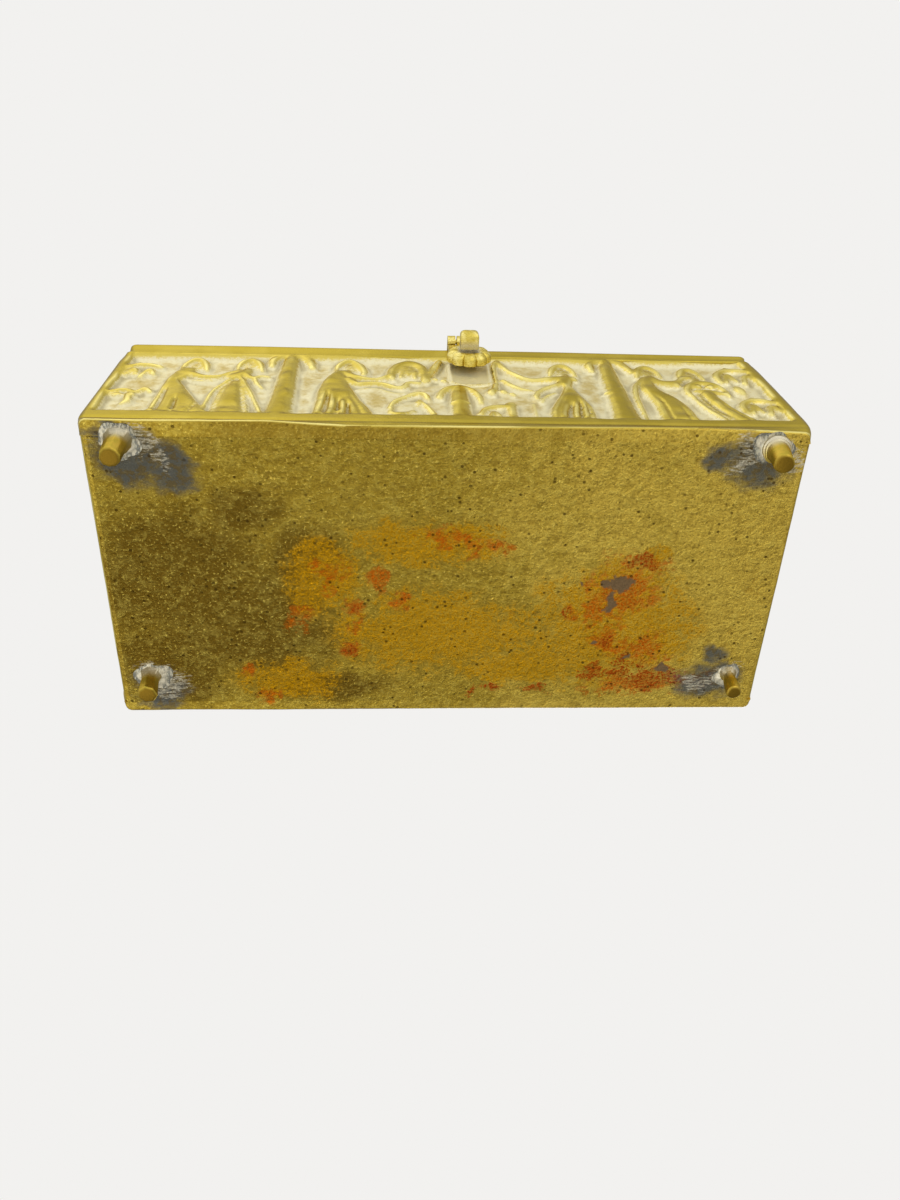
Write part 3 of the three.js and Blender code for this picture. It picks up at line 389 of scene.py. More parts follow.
def giver(draw):
    """Broad figure that bends forward over its outstretched arm"""
    head(draw, 0.6, 53, 4, 6.6, -1)
    draw.cloth(
        [(10.4, -4.6, 7.8), (18, -4.2, 7.6), (24, -4, 6.8), (30, -4.4, 4.6), (36, -5.2, 1.8), (42, -4.2, 0.8),
         (47.6, -1.6, 1.4)],
        [(0.3, 0.3, 0.45, 0.5, 34), (0.7, 0.74, 0.4, 0.5, 22)],
        2.3,
    )
    draw.stroke([(-1.8, 47.4, 1.0, 1.9), (-5.6, 40.6, 1.0, 1.9), (-7.6, 31, 1.0, 1.9), (-8.2, 20, 0.9, 1.8),
                 (-8.4, 11, 0.8, 1.6)])
    draw.stroke([(0.4, 47, 2.0, 2.3), (2.6, 43.6, 2.4, 2.3), (5.6, 42.6, 2.5, 2.3), (8.4, 44, 1.7, 2.2),
                 (10.6, 47, 1.2, 2.1), (13.4, 48.6, 1.1, 2.0)])
    draw.lobe(7.4, 41.4, 2.2, 2.6, 2.2)
    for foot in (-2.8, 5.4):
        draw.stroke([(foot - 1.6, 11, 0.7, 1.4), (foot, 13.4, 0.8, 1.7), (foot + 1.8, 11, 0.7, 1.4)])


def waiter(draw):
    """Figure wrapped in a shawl, arms folded, its long folds swept to one side"""
    head(draw, -2.6, 51.4, 3.9, 6.4, -1)
    draw.stroke([(-7.2, 31, 0.9, 1.8), (-7, 37, 1.3, 2.1), (-4.4, 41.8, 1.6, 2.3), (-0.4, 43, 1.7, 2.3),
                 (3, 41, 1.5, 2.2), (4.8, 36.6, 1.2, 2.1), (5, 32, 0.9, 1.8)])
    draw.lobe(-3, 39.4, 2.0, 2.2, 2.2)
    draw.lobe(1, 39.4, 2.0, 2.0, 2.2)
    draw.stroke([(-4, 35.8, 1.3, 2.1), (0.4, 34.8, 1.5, 2.2), (4.2, 33, 1.2, 2.0)])
    draw.cloth(
        [(10.4, 1.4, 8.6), (16, -0.6, 5.4), (22, -2.2, 3.4), (28, -3.4, 2), (35, -4, 1.2)],
        [(0.62, 0.6, 0.4, 0.35, 32)],
        2.3,
    )
    draw.stroke([(-6.8, 33, 0.8, 1.8), (-6, 25, 0.9, 1.9), (-4, 17, 0.9, 1.9), (-1.2, 10.6, 0.8, 1.7)])
    draw.stroke([(-4.6, 33, 0.6, 1.7), (-4, 25, 0.7, 1.7), (-2, 17, 0.7, 1.7), (1, 10.6, 0.7, 1.5)])


def tall_tree(draw, lean=0.0, knot=False):
    """A trunk as high as the wall's picture, with a drooping leaf at each side of its top"""
    draw.stroke([(0, 6, 4.7, 2.4), (0, 13, 3.4, 2.4), (0.2 + lean * 0.2, 26, 2.9, 2.4),
                 (lean * 0.6, 44, 2.6, 2.4), (lean * 0.9, 58, 2.2, 2.4), (lean, 65, 1.8, 2.4)])
    draw.stroke([(-2.6 + lean, 64, 1.3, 2.1), (-5.6 + lean, 60, 1.6, 2.1), (-5.8 + lean, 54, 1.1, 1.8)])
    draw.stroke([(2.4 + lean, 64, 1.4, 2.1), (5.6 + lean, 60.6, 1.9, 2.2), (7.4 + lean, 53, 1.2, 1.9)])
    if knot:
        draw.stroke([(-2.6, 32.8, 0.7, 2.3), (0.4, 34.6, 0.8, 2.3), (3.4, 36.6, 0.7, 2.3)])


def stump(draw):
    """A short trunk with a branch drooping at each side"""
    draw.stroke([(0, 6, 3.7, 2.4), (0.1, 13, 2.6, 2.4), (0, 22, 2.4, 2.4), (0.2, 32, 2.2, 2.3),
                 (0.8, 37, 1.4, 2.0)])
    draw.stroke([(-2.6, 22.2, 0.6, 2.2), (0, 22.7, 0.6, 2.3), (2.6, 22.3, 0.6, 2.2)])
    draw.stroke([(0.2, 36.6, 1.4, 2.0), (-2.6, 35.4, 1.6, 2.0), (-5, 32, 1.5, 1.9), (-6, 27.4, 1.2, 1.6)])
    draw.stroke([(1.9, 36.6, 1.2, 1.9), (4.4, 34, 1.3, 1.9), (5.9, 29, 1.3, 1.9), (6.3, 23.4, 1.0, 1.5)])


def round_bush(draw):
    """A hooded bush: a tall rounded arch with leaves inside"""
    draw.stroke([(-5.4, 44, 1.4, 1.9), (-4.8, 51, 1.7, 2.1), (-2.6, 56.6, 2.1, 2.2), (0.8, 58.4, 2.3, 2.3),
                 (4, 55.6, 1.8, 2.2), (5, 48, 1.4, 2.1), (5, 41, 1.2, 1.9)])
    draw.lobe(0, 52, 5.2, 8, 1.7)
    draw.stroke([(-2.4, 45, 0.7, 1.7), (-1.8, 50, 0.8, 1.8), (-1, 54, 0.8, 1.9)])
    draw.stroke([(2.2, 44, 0.7, 1.7), (2.4, 50, 0.8, 1.9)])


def arched_plant(draw):
    """A low plant that bows over to one side, with a bud on its stalk"""
    draw.stroke([(-6, 18, 0.8, 1.7), (-4.6, 22.8, 1.0, 1.9), (-1.4, 26.8, 1.1, 2.0), (2, 30, 1.2, 2.1),
                 (4.6, 29.6, 1.1, 2.0), (5.4, 25.8, 0.8, 1.8)])
    draw.stroke([(2.8, 25, 0.7, 1.7), (4.8, 20, 0.9, 1.9), (6.4, 14.4, 1.1, 2.0), (7.6, 9.6, 1.2, 1.9)])
    draw.lobe(2.6, 22.4, 1.4, 2.8, 1.8, 0.1)
    draw.lobe(0, 19, 5, 6.5, 1.0)
    draw.stroke([(-5.8, 18, 1.0, 1.6), (-5.2, 13.4, 1.2, 1.7), (-1.6, 13.4, 1.5, 1.8), (1, 15.2, 1.0, 1.6)])
    draw.lobe(-3, 12, 2.6, 2.4, 1.8)


def leaf_spray(draw, v=0.0, size=1.0):
    """A bowed spray with a berry on top and two leaves hanging in it"""
    def put(points):
        draw.stroke([(u * size, v + (y - 50) * size, wide, tall) for u, y, wide, tall in points])
    put([(-6.6, 44.6, 1.2, 1.8), (-6.2, 51, 1.4, 2.0), (-3.4, 55.4, 1.5, 2.1), (1.6, 56.4, 1.5, 2.1),
         (6.6, 54.2, 1.3, 2.0)])
    put([(-4.6, 45, 1.0, 1.8), (-2.4, 51.6, 1.2, 2.0), (-1, 46, 1.0, 1.8)])
    put([(1.2, 44, 1.0, 1.8), (3.4, 51, 1.2, 2.0), (5.4, 46.6, 1.0, 1.8)])
    draw.lobe(-1.6 * size, v + 7.6 * size, 1.3, 1.7, 2.1)


def front_picture(draw):
    """Six figures among trees, as on the front of the box"""
    tall_tree(draw.at(-50))
    tall_tree(draw.at(51.8), 2.4, True)
    stump(draw.at(3.3))
    walker(draw.at(-83))
    greeter(draw.at(-63.5))
    bearer(draw.at(-34.4))
    dancer(draw.at(38))
    giver(draw.at(66))
    waiter(draw.at(83))
    round_bush(draw.at(-12))
    arched_plant(draw.at(-11.8))
    leaf_spray(draw.at(95.6), 50)
    leaf_spray(draw.at(95.4), 22, 0.9)
    leaf_spray(draw.at(-96.4), 48, 0.85)
    draw.at(0)
    draw.lobe(93, 37.4, 2.3, 5.0, 2.0, 0.05)
    draw.stroke([(-6, 42, 1.0, 1.7), (-4.6, 50, 1.3, 1.9), (-3, 56, 1.4, 2.0), (-1.6, 61, 1.2, 1.9)])
    for u, v, size in ((-6.2, 42.2, 1.5), (-3.4, 43.6, 1.3), (-0.8, 42.6, 1.5), (18.2, 43.6, 1.4)):
        draw.lobe(u, v, size, size * 1.1, 1.8)
    draw.stroke([(17, 61, 1.1, 1.8), (15.6, 52, 1.1, 1.8), (15.6, 42, 1.1, 1.7), (14.6, 34, 1.2, 1.7)])
    draw.lobe(13.6, 33, 1.9, 3.4, 1.9)
    draw.lobe(17.4, 33, 1.7, 2.6, 1.9, 0.2)
    draw.lobe(20, 31.4, 1.5, 1.7, 1.8)
    draw.stroke([(18.4, 43, 1.2, 1.8), (20.6, 38.8, 1.3, 1.9), (22.8, 36, 1.2, 1.8), (26.4, 34.6, 1.0, 1.6)])
    draw.stroke([(8.8, 13.6, 1.2, 1.8), (10.8, 17.8, 1.4, 1.9), (14.4, 20, 1.6, 2.0), (17, 20, 1.4, 2.0)])
    draw.stroke([(11.4, 11.6, 1.0, 1.6), (13, 15.4, 1.2, 1.7), (14.4, 12.4, 1.0, 1.6)])
    draw.stroke([(18.4, 10, 1.6, 1.8), (18.2, 16, 1.4, 1.9), (18.5, 22.4, 1.7, 2.1)])
    draw.stroke([(-103, 26, 1.0, 1.7), (-99, 29.6, 1.4, 1.9), (-95.6, 29.6, 1.4, 1.9), (-94, 25.6, 1.1, 1.8)])
    draw.lobe(-98.8, 26.2, 2.8, 1.9, 1.6, 0.2)
    draw.stroke([(-93, 29, 1.1, 1.8), (-91.4, 31.4, 1.3, 1.9), (-89.4, 28.6, 1.1, 1.8)])
    draw.stroke([(-95.4, 26.4, 1.1, 1.8), (-94.6, 21.6, 1.3, 1.9), (-95.6, 19, 1.0, 1.6)])


def rear_picture(draw):
    """Pairs of figures and trees under the two hinges"""
    for side in (-1, 1):
        tall_tree(draw.at(side * 24, side), -1)
        walker(draw.at(side * 90, -side))
        giver(draw.at(side * 37, side))
        waiter(draw.at(side * 9, -side))
        arched_plant(draw.at(side * 60, side))
        arched_plant(draw.at(side * 52, -side))
        leaf_spray(draw.at(side * 60, side), 40, 0.8)
        leaf_spray(draw.at(side * 97, side), 26, 0.7)


def end_picture(draw):
    """Two figures on either side of a tree"""
    tall_tree(draw.at(0), 1, True)
    bearer(draw.at(-26))
    dancer(draw.at(22))
    arched_plant(draw.at(-34, -1))
    leaf_spray(draw.at(35), 26, 0.6)
    leaf_spray(draw.at(-34), 46, 0.6)
    leaf_spray(draw.at(33.5), 48, 0.7)


# A quarter of the lid's foliage: two stems of (u, v, half width, height)
VINE = ((18, 3, 1.4, 1.1), (28, 14, 1.7, 1.2), (42, 18, 1.7, 1.2), (55, 9, 1.7, 1.2), (68, 3, 1.6, 1.2),
        (82, 10, 1.4, 1.1), (87, 22, 1.2, 1.0), (80, 29, 1.1, 1.0), (74, 24, 1.0, 0.9))
CURL = ((50, 13, 1.3, 1.1), (56, 24, 1.3, 1.1), (50, 33, 1.2, 1.0), (42, 31, 1.0, 0.9), (43, 26, 0.9, 0.8))
# Its leaves: u, v, half length, half width, turn
LEAVES = ((34, 27, 7, 3, 0.9), (22, 22, 6.5, 2.8, 1.5), (63, 31, 6, 2.8, 0.3), (66, 14, 6, 2.7, 1.0),
          (29, 35, 7, 2.6, 0.2), (72, 35, 6, 2.2, -0.1), (13, 32, 6, 2.6, 0.2), (45, 5, 6, 2.4, -0.5),
          (88, 35, 2.2, 4, -0.4))


def lid_picture(draw):
    """Scrolling foliage round a flower"""
    petals = 8
    for k in range(petals):
        turn = k / petals * math.tau
        draw.at(0).lobe(math.cos(turn) * 9.4, math.sin(turn) * 9.4, 6, 3.2, 1.2, turn)
        draw.lobe(math.cos(turn + 0.39) * 14, math.sin(turn + 0.39) * 14, 3, 1.4, 0.9, turn + 0.39)
    draw.lobe(0, 0, 4.2, 4.2, 1.4)
    for side in (-1, 1):
        for up in (-1, 1):
            draw.at(0, side)
            for stem in (VINE, CURL):
                draw.stroke([(u, up * v, wide, tall) for u, v, wide, tall in stem])
            for u, v, wide, high, turn in LEAVES:
                draw.lobe(u, up * v, wide, high, 1.15, up * turn)


def crease_shade_and_wear(heights, step):
    """Creases and crests of a height field, for painted shade in the creases and for wear with painted
    highlight on the crests: how far a point lies under or over its surroundings
    """
    around = softened(heights, int(round((1.1 / step) ** 2 * 2)) + 2)
    return np.clip((around - heights) / 0.5, 0, 1), np.clip((heights - around) / 0.5, 0, 1)


def deselect():
    if bpy.context.mode != "OBJECT":
        bpy.ops.object.mode_set(mode="OBJECT")
    bpy.ops.object.select_all(action="DESELECT")


def choose(obj):
    deselect()
    obj.select_set(True)
    bpy.context.view_layer.objects.active = obj


def face_outwards():
    """Turns all faces of the piece in edit mode outwards, and leaves edit mode"""
    bpy.ops.mesh.select_all(action="SELECT")
    bpy.ops.mesh.normals_make_consistent(inside=False)
    bpy.ops.object.mode_set(mode="OBJECT")


def points_of(obj):
    points = np.empty(len(obj.data.vertices) * 3)
    obj.data.vertices.foreach_get("co", points)
    return points.reshape(-1, 3) * MM


def set_points(obj, points):
    obj.data.vertices.foreach_set("co", (points / MM).ravel())
    obj.data.update()


def paint(obj, name, values):
    """Keeps a value for each point of the mesh, for its material to read"""
    layer = obj.data.attributes.new(name, "FLOAT", "POINT")
    kept = np.zeros(len(obj.data.vertices), np.float32)
    kept[:values.size] = values.ravel()
    layer.data.foreach_set("value", kept)


class Side:
    """A side of the box with its own frame in mm: u to the right, v up and w outwards"""

    def __init__(self, origin, right, up):
        self.origin = np.array(origin, float)
        self.right, self.up = np.array(right, float), np.array(up, float)
        self.out = np.cross(self.right, self.up)

    def place(self, u, v, w):
        spread = [np.ravel(c)[:, None] * axis for c, axis in ((u, self.right), (v, self.up), (w, self.out))]
        return self.origin + spread[0] + spread[1] + spread[2]

    def read(self, points):
        away = points - self.origin
        return away @ self.right, away @ self.up, away @ self.out


FRONT = Side((0, FRONT_LOW[1], WALL_FOOT), (1, 0, 0), (0, 0, 1))
REAR = Side((0, REAR_HIGH[1], WALL_FOOT), (-1, 0, 0), (0, 0, 1))
LEFT = Side((LEFT_LOW[0], MIDDLE_Y, WALL_FOOT), (0, -1, 0), (0, 0, 1))
RIGHT = Side((RIGHT_HIGH[0], MIDDLE_Y, WALL_FOOT), (0, 1, 0), (0, 0, 1))
UNDER = Side((0, MIDDLE_Y, PLATE_LOW[2]), (1, 0, 0), (0, -1, 0))
TOP = Side((0, MIDDLE_Y, LID_HIGH[2]), (1, 0, 0), (0, 1, 0))


def spaced(low, high, step, round_low, round_high):
    """Positions from low to high: even in the middle, and closer where each end rounds over"""
    arc = np.array([0.0, 0.1, 0.3, 0.6])
    starts = low + round_low * (1 - np.cos(arc * math.pi / 2))
    ends = high - round_high * (1 - np.cos(arc * math.pi / 2))
    inner = np.linspace(low + round_low, high - round_high, int((high - low) / step))
    return np.concatenate([starts, inner, ends[::-1]])


def rounding(distance, radius):
    """How far an edge of this radius has dropped at this distance from its side"""
    inside = np.clip(radius - distance, 0, radius)
    return radius - np.sqrt(radius * radius - inside * inside)


def surface(name, side, drawing, w):
    """A grid laid on a side and raised to w"""
    deselect()
    cells_u, cells_v = len(drawing.us) - 1, len(drawing.vs) - 1
    bpy.ops.mesh.primitive_grid_add(x_subdivisions=cells_u, y_subdivisions=cells_v, size=1)
    obj = bpy.context.object
    obj.name = name
    set_points(obj, side.place(drawing.u, drawing.v, w))
    return obj


def pull_ring(obj, moved):
    """Extrudes the open edge of a piece and moves the new ring of points"""
    bpy.ops.object.mode_set(mode="EDIT")
    bpy.ops.mesh.extrude_edges_move(TRANSFORM_OT_translate={"value": (0, 0, 0)})
    bpy.ops.object.mode_set(mode="OBJECT")
    points = points_of(obj)
    picked = np.empty(len(points), bool)
    obj.data.vertices.foreach_get("select", picked)
    points[picked] = moved(points[picked])
    set_points(obj, points)


def pick_rim(obj):
    bpy.ops.object.mode_set(mode="EDIT")
    bpy.ops.mesh.select_all(action="SELECT")
    bpy.ops.mesh.region_to_loop()
    bpy.ops.object.mode_set(mode="OBJECT")


def close_rim(obj):
    """Fills the open edge and turns all faces outwards"""
    bpy.ops.object.mode_set(mode="EDIT")
    bpy.ops.mesh.edge_face_add()
    face_outwards()


def thicken(obj, side, back, shares=(0.25, 0.5, 0.75, 0.97, 1.0), foot=False):
    """Gives a surface its back: rings of points down the edge, each at a share of the way, then a flat
    face at w = back. A wall's foot runs down to the level of the bottom plate"""
    pick_rim(obj)
    done = 0.0
    for share in shares:
        def moved(points, step=(share - done) / (1 - done)):
            u, v, w = side.read(points)
            if foot:
                v = np.where(v < 1, v + (FLUSH - v) * step, v)
            return side.place(u, v, w + (back - w) * step)
        pull_ring(obj, moved)
        done = share
    close_rim(obj)


def finish(obj, material, nodes, body, angle=50):
    """Shades a piece, gives it its material, and sets it in place of its CAD nodes"""
    choose(obj)
    bpy.ops.object.shade_smooth_by_angle(angle=math.radians(angle))
    obj.data.materials.clear()
    obj.data.materials.append(material)
    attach(obj, body)
    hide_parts(*nodes)


# Materials

def add_node(tree, kind, inputs=None, **settings):
    """Adds a node, and sets or links its inputs, by name or by place"""
    made = tree.nodes.new(kind)
    for name, value in settings.items():
        setattr(made, name, value)
    for name, value in (inputs or {}).items():
        if isinstance(value, bpy.types.NodeSocket):
            tree.links.new(value, made.inputs[name])
        else:
            made.inputs[name].default_value = value
    return made


def new_material(name):
    material = bpy.data.materials.new(name)
    material.use_nodes = True
    tree = material.node_tree
    tree.nodes.clear()
    return material, tree


def paint_of(colour):
    return (*colour, 1.0)


def mixed(tree, share, first, second):
    """Colour from first to second as share goes from 0 to 1"""
    return add_node(tree, "ShaderNodeMix", {0: share, 6: first, 7: second}, data_type="RGBA").outputs[2]


def between(tree, value, low, high, to_low=0.0, to_high=1.0):
    """Value stretched from low..high to to_low..to_high, with soft ends"""
    limits = {"Value": value, "From Min": low, "From Max": high, "To Min": to_low, "To Max": to_high}
    return add_node(tree, "ShaderNodeMapRange", limits, interpolation_type="SMOOTHSTEP").outputs[0]


def worked(tree, operation, first, second):
    return add_node(tree, "ShaderNodeMath", {0: first, 1: second}, operation=operation).outputs[0]


def painted(tree, name):
    return add_node(tree, "ShaderNodeAttribute", attribute_name=name).outputs["Fac"]


def grain(tree, where, size, detail=2.0, roughness=0.5):
    """Noise whose grains are size mm wide"""
    inputs = {"Vector": where, "Scale": MM / size, "Detail": detail, "Roughness": roughness}
    return add_node(tree, "ShaderNodeTexNoise", inputs).outputs["Fac"]


# How much of its own colour a surface keeps in reflections along its edges
EDGE_TINT = 0.5


def finish_tree(tree, colour, metallic, roughness, height, depth):
    """Principled surface with a bump of depth mm from a height"""
    bump = add_node(tree, "ShaderNodeBump", {"Strength": 1.0, "Distance": depth / MM, "Height": height})
    inputs = {"Base Color": colour, "Metallic": metallic, "Roughness": roughness, "Normal": bump.outputs[0],
              "Specular Tint": mixed(tree, EDGE_TINT, (1, 1, 1, 1), colour)}
    shader = add_node(tree, "ShaderNodeBsdfPrincipled", inputs)
    add_node(tree, "ShaderNodeOutputMaterial", {"Surface": shader.outputs[0]})


def underside_finish(tree, where, colours):
    """Colour, metallic, roughness and height of the cast underside, with its stains"""
    axes = add_node(tree, "ShaderNodeSeparateXYZ", {0: where}).outputs
    drift = grain(tree, where, 17, 4, 0.6)
    along = worked(tree, "ADD", axes["X"], between(tree, drift, 0.3, 0.7, -0.03, 0.03))
    rightward = between(tree, along, 0.0, 0.07)
    colour = mixed(tree, rightward, paint_of(colours.plate_middle), paint_of(colours.plate_right))
    brown = worked(tree, "ADD", painted(tree, "brown"), between(tree, drift, 0.3, 0.7, 0.13, -0.13))
    colour = mixed(tree, between(tree, brown, 0.05, 0.85), colour, paint_of(colours.plate_left))
    broad = between(tree, grain(tree, where, 6, 3, 0.6), 0.34, 0.66)
    coarse = between(tree, grain(tree, where, 2.2, 3, 0.65), 0.34, 0.66)
    fine = between(tree, grain(tree, where, 0.8, 4, 0.7), 0.32, 0.68)
    smeared = add_node(tree, "ShaderNodeMapping", {0: where, "Rotation": (0, 0, 0.6), "Scale": (1, 3, 1)})
    smear = grain(tree, smeared.outputs[0], 5, 4, 0.6)
    for noise, begin, full, most, skin in (
        (smear, 0.55, 0.72, 0.2, colours.brass_pale),
        (smear, 0.48, 0.32, 0.3, colours.crease),
        (broad, 0.6, 1, 0.12, colours.brass_pale),
        (coarse, 0.6, 1, 0.22, colours.brass_pale),
        (coarse, 0.4, 0, 0.3, colours.plate_left),
        (fine, 0.7, 1, 0.45, colours.brass_pale),
        (fine, 0.3, 0, 0.5, colours.crease),
    ):
        colour = mixed(tree, between(tree, noise, begin, full, 0, most), colour, paint_of(skin))
    weights = ((broad, 0.34), (coarse, 0.36), (fine, 0.3))
    parts = [worked(tree, "MULTIPLY", part, weight) for part, weight in weights]
    breakup = worked(tree, "ADD", worked(tree, "ADD", parts[0], parts[1]), parts[2])
    breakup = between(tree, breakup, 0.25, 0.75)
    counter = worked(tree, "SUBTRACT", 1.0, breakup)
    grains = between(tree, fine, 0.1, 0.8, 0.4, 1)
    wiped = add_node(tree, "ShaderNodeMapping", {0: where, "Rotation": (0, 0, 0.5), "Scale": (0.4, 1.6, 1)})
    wisps = between(tree, grain(tree, wiped.outputs[0], 1.2, 5, 0.7), 0.36, 0.64)
    rough, metal = between(tree, fine, 0, 1, 0.44, 0.26), 1.0
    browned = between(tree, coarse, 0.35, 0.9, 0, 0.6)
    heat = mixed(tree, browned, paint_of(colours.scorch), paint_of(colours.crease))
    for name, paint_colour, edge, weight, begin, full, most in (
        ("yellow", paint_of(colours.yellow), breakup, 0.7, 0.35, 1.15, 0.95),
        ("rust", paint_of(colours.rust), counter, 1.0, 0.75, 1.5, 1.0),
        ("red", paint_of(colours.red), breakup, 1.0, 0.75, 1.45, 1.0),
        ("scale", paint_of(colours.scale_grey), counter, 0.4, 0.45, 0.9, 1.0),
        ("scorch", heat, smear, 1.2, 0.5, 1.5, 0.9),
        ("tin", paint_of(colours.solder), wisps, 1.6, 1.15, 2.0, 0.85),
    ):
        there = between(tree, painted(tree, name), 0, 0.3)
        if name not in ("scale", "scorch"):
            there = worked(tree, "MULTIPLY", there, grains)
        patch = worked(tree, "ADD", painted(tree, name), worked(tree, "MULTIPLY", edge, weight))
        share = worked(tree, "MULTIPLY", between(tree, patch, begin, full, 0, most), there)
        colour = mixed(tree, share, colour, paint_colour)
        if name in ("scale", "scorch", "tin"):
            rough = add_node(tree, "ShaderNodeMix", {0: share, 2: rough, 3: 0.55}).outputs[0]
            metal = add_node(tree, "ShaderNodeMix", {0: share, 2: metal, 3: 0.6}).outputs[0]
    spots = {"Vector": where, "Scale": MM / 2.6, "Randomness": 1.0}
    cells = add_node(tree, "ShaderNodeTexVoronoi", spots)
    chosen = between(tree, grain(tree, where, 9, 2), 0.44, 0.58)
    pit = worked(tree, "MULTIPLY", between(tree, cells.outputs["Distance"], 0.2, 0.13), chosen)
    colour = mixed(tree, worked(tree, "MULTIPLY", pit, 0.8), colour, paint_of(colours.pit))
    filed = worked(tree, "MULTIPLY", painted(tree, "filed"), 0.5)
    colour = mixed(tree, filed, colour, paint_of(colours.plate_left))
    height = worked(tree, "ADD", worked(tree, "MULTIPLY", coarse, 0.55), worked(tree, "MULTIPLY", fine, 0.45))
    height = worked(tree, "SUBTRACT", height, pit)
    return colour, metal, rough, height


def plate_brass(colours):
    """Brass plate left as cast: grainy, tarnished to olive and brown, scorched round the soldered feet.
    It gives the eye a soft broken sheen, dull at the stains."""
    material, tree = new_material("as_cast_brass_plate")
    where = add_node(tree, "ShaderNodeTexCoord").outputs["Object"]
    colour, metal, rough, height = underside_finish(tree, where, colours)
    finish_tree(tree, colour, metal, rough, height, 0.45)
    return material


def relief_brass(name, colours):
    """Cast yellow brass, handled on the raised parts, with pale dried polish left on the ground. The crests
    and edges are bright from wear and painted highlight, the broad tops of the raised forms darker from
    painted reflection, and the creases dark from painted shade mixed with tarnish. It gives the eye soft
    gloss over a chalky, glittering ground."""
    material, tree = new_material(name)
    where = add_node(tree, "ShaderNodeTexCoord").outputs["Object"]
    patches = grain(tree, where, 9, 2)
    sand = grain(tree, where, 1.1, 4, 0.7)
    fine = grain(tree, where, 0.45, 2)
    raised = worked(tree, "ADD", painted(tree, "raised"), between(tree, sand, 0.3, 0.7, -0.1, 0.1))
    raised = between(tree, raised, 0.2, 0.72)
    # Painted reflection: the broadest tops of the raised forms turn to the darker brass and their flanks to
    # the pale brass, broken up by random patches
    painted_dark_tops = between(tree, painted(tree, "raised"), 0.7, 1.0, -0.6, 0.7)
    full = worked(tree, "ADD", painted_dark_tops, between(tree, patches, 0.35, 0.7, 0.5, 0))
    brass = mixed(tree, full, paint_of(colours.brass_pale), paint_of(colours.brass))
    cloudy = grain(tree, where, 4, 4, 0.65)
    warm = worked(tree, "ADD", painted(tree, "open"), between(tree, cloudy, 0.3, 0.7, -0.5, 0.3))
    warm = worked(tree, "ADD", between(tree, warm, 0.1, 1.3, 0, 0.9), between(tree, sand, 0.5, 0.75, 0, 0.35))
    ground = mixed(tree, warm, paint_of(colours.ground), paint_of(colours.ground_warm))
    colour = mixed(tree, raised, ground, brass)
    # Rubbed wear and painted highlight: crests, the lower edge's rounding and the lower band's ridge turned
    # lighter
    colour = mixed(tree, between(tree, painted(tree, "wear_and_highlight"), 0.3, 1, 0, 0.9), colour, paint_of(colours.wear_and_highlight))
    # Painted shade mixed with tarnish: the creases darkened towards the Crease colour
    crease = worked(tree, "MULTIPLY", painted(tree, "crease"), between(tree, patches, 0.3, 0.6, 0.35, 1))
    colour = mixed(tree, between(tree, crease, 0.1, 0.9, 0, 0.5), colour, paint_of(colours.shade))
    metal = between(tree, raised, 0, 1, 0.5, 1)
    rough = between(tree, raised, 0, 1, 0.36, 0.22)
    height = worked(tree, "ADD", worked(tree, "MULTIPLY", sand, between(tree, raised, 0, 1, 1, 0.3)),
                    worked(tree, "MULTIPLY", fine, 0.25))
    below, low_metal, low_rough, low_height = underside_finish(tree, where, colours)
    under = painted(tree, "under")
    colour = mixed(tree, under, colour, below)
    metal = add_node(tree, "ShaderNodeMix", {0: under, 2: metal, 3: low_metal}).outputs[0]
    rough = add_node(tree, "ShaderNodeMix", {0: under, 2: rough, 3: low_rough}).outputs[0]
    height = add_node(tree, "ShaderNodeMix", {0: under, 2: height, 3: low_height}).outputs[0]
    finish_tree(tree, colour, metal, rough, height, 0.18)
    return material


def fitting_brass(colours):
    """Filed and handled yellow brass of the hasp, hinges and studs: bright, with fine file marks and
    tarnish where fingers don't reach."""
    material, tree = new_material("filed_yellow_brass")
    where = add_node(tree, "ShaderNodeTexCoord").outputs["Object"]
    patches = grain(tree, where, 3, 3)
    turned = add_node(tree, "ShaderNodeMapping", {0: where, "Scale": (1, 6, 1), "Rotation": (0.4, 0.5, 0.6)})
    marks = grain(tree, turned.outputs[0], 0.9, 3)
    rubbed = between(tree, patches, 0.4, 0.65)
    colour = mixed(tree, rubbed, paint_of(colours.brass_pale), paint_of(colours.wear_and_highlight))
    colour = mixed(tree, between(tree, marks, 0.5, 0.3), colour, paint_of(colours.brass))
    colour = mixed(tree, between(tree, patches, 0.6, 0.85, 0, 0.35), colour, paint_of(colours.crease))
    colour = mixed(tree, between(tree, painted(tree, "tin"), 0.2, 0.8), colour, paint_of(colours.solder))
    finish_tree(tree, colour, 1.0, between(tree, marks, 0.3, 0.7, 0.22, 0.42), marks, 0.05)
    return material


def foot_brass(colours):
    """Brass rod cut and filed for the feet: duller than the fittings, with turned and filed facets."""
    material, tree = new_material("filed_brass_rod")
    where = add_node(tree, "ShaderNodeTexCoord").outputs["Object"]
    patches = grain(tree, where, 2.2, 4, 0.6)
    marks = grain(tree, where, 0.5, 3)
    darker = between(tree, patches, 0.35, 0.65)
    colour = mixed(tree, darker, paint_of(colours.plate_right), paint_of(colours.brass))
    # Painted dark reflection: the downward tip of each foot, its cut end, darkened to the brown plate colour
    colour = mixed(tree, painted(tree, "cut"), colour, paint_of(colours.plate_left))
    colour = mixed(tree, between(tree, painted(tree, "tin"), 0.15, 0.85), colour, paint_of(colours.solder))
    finish_tree(tree, colour, 1.0, 0.4, marks, 0.08)
    return material


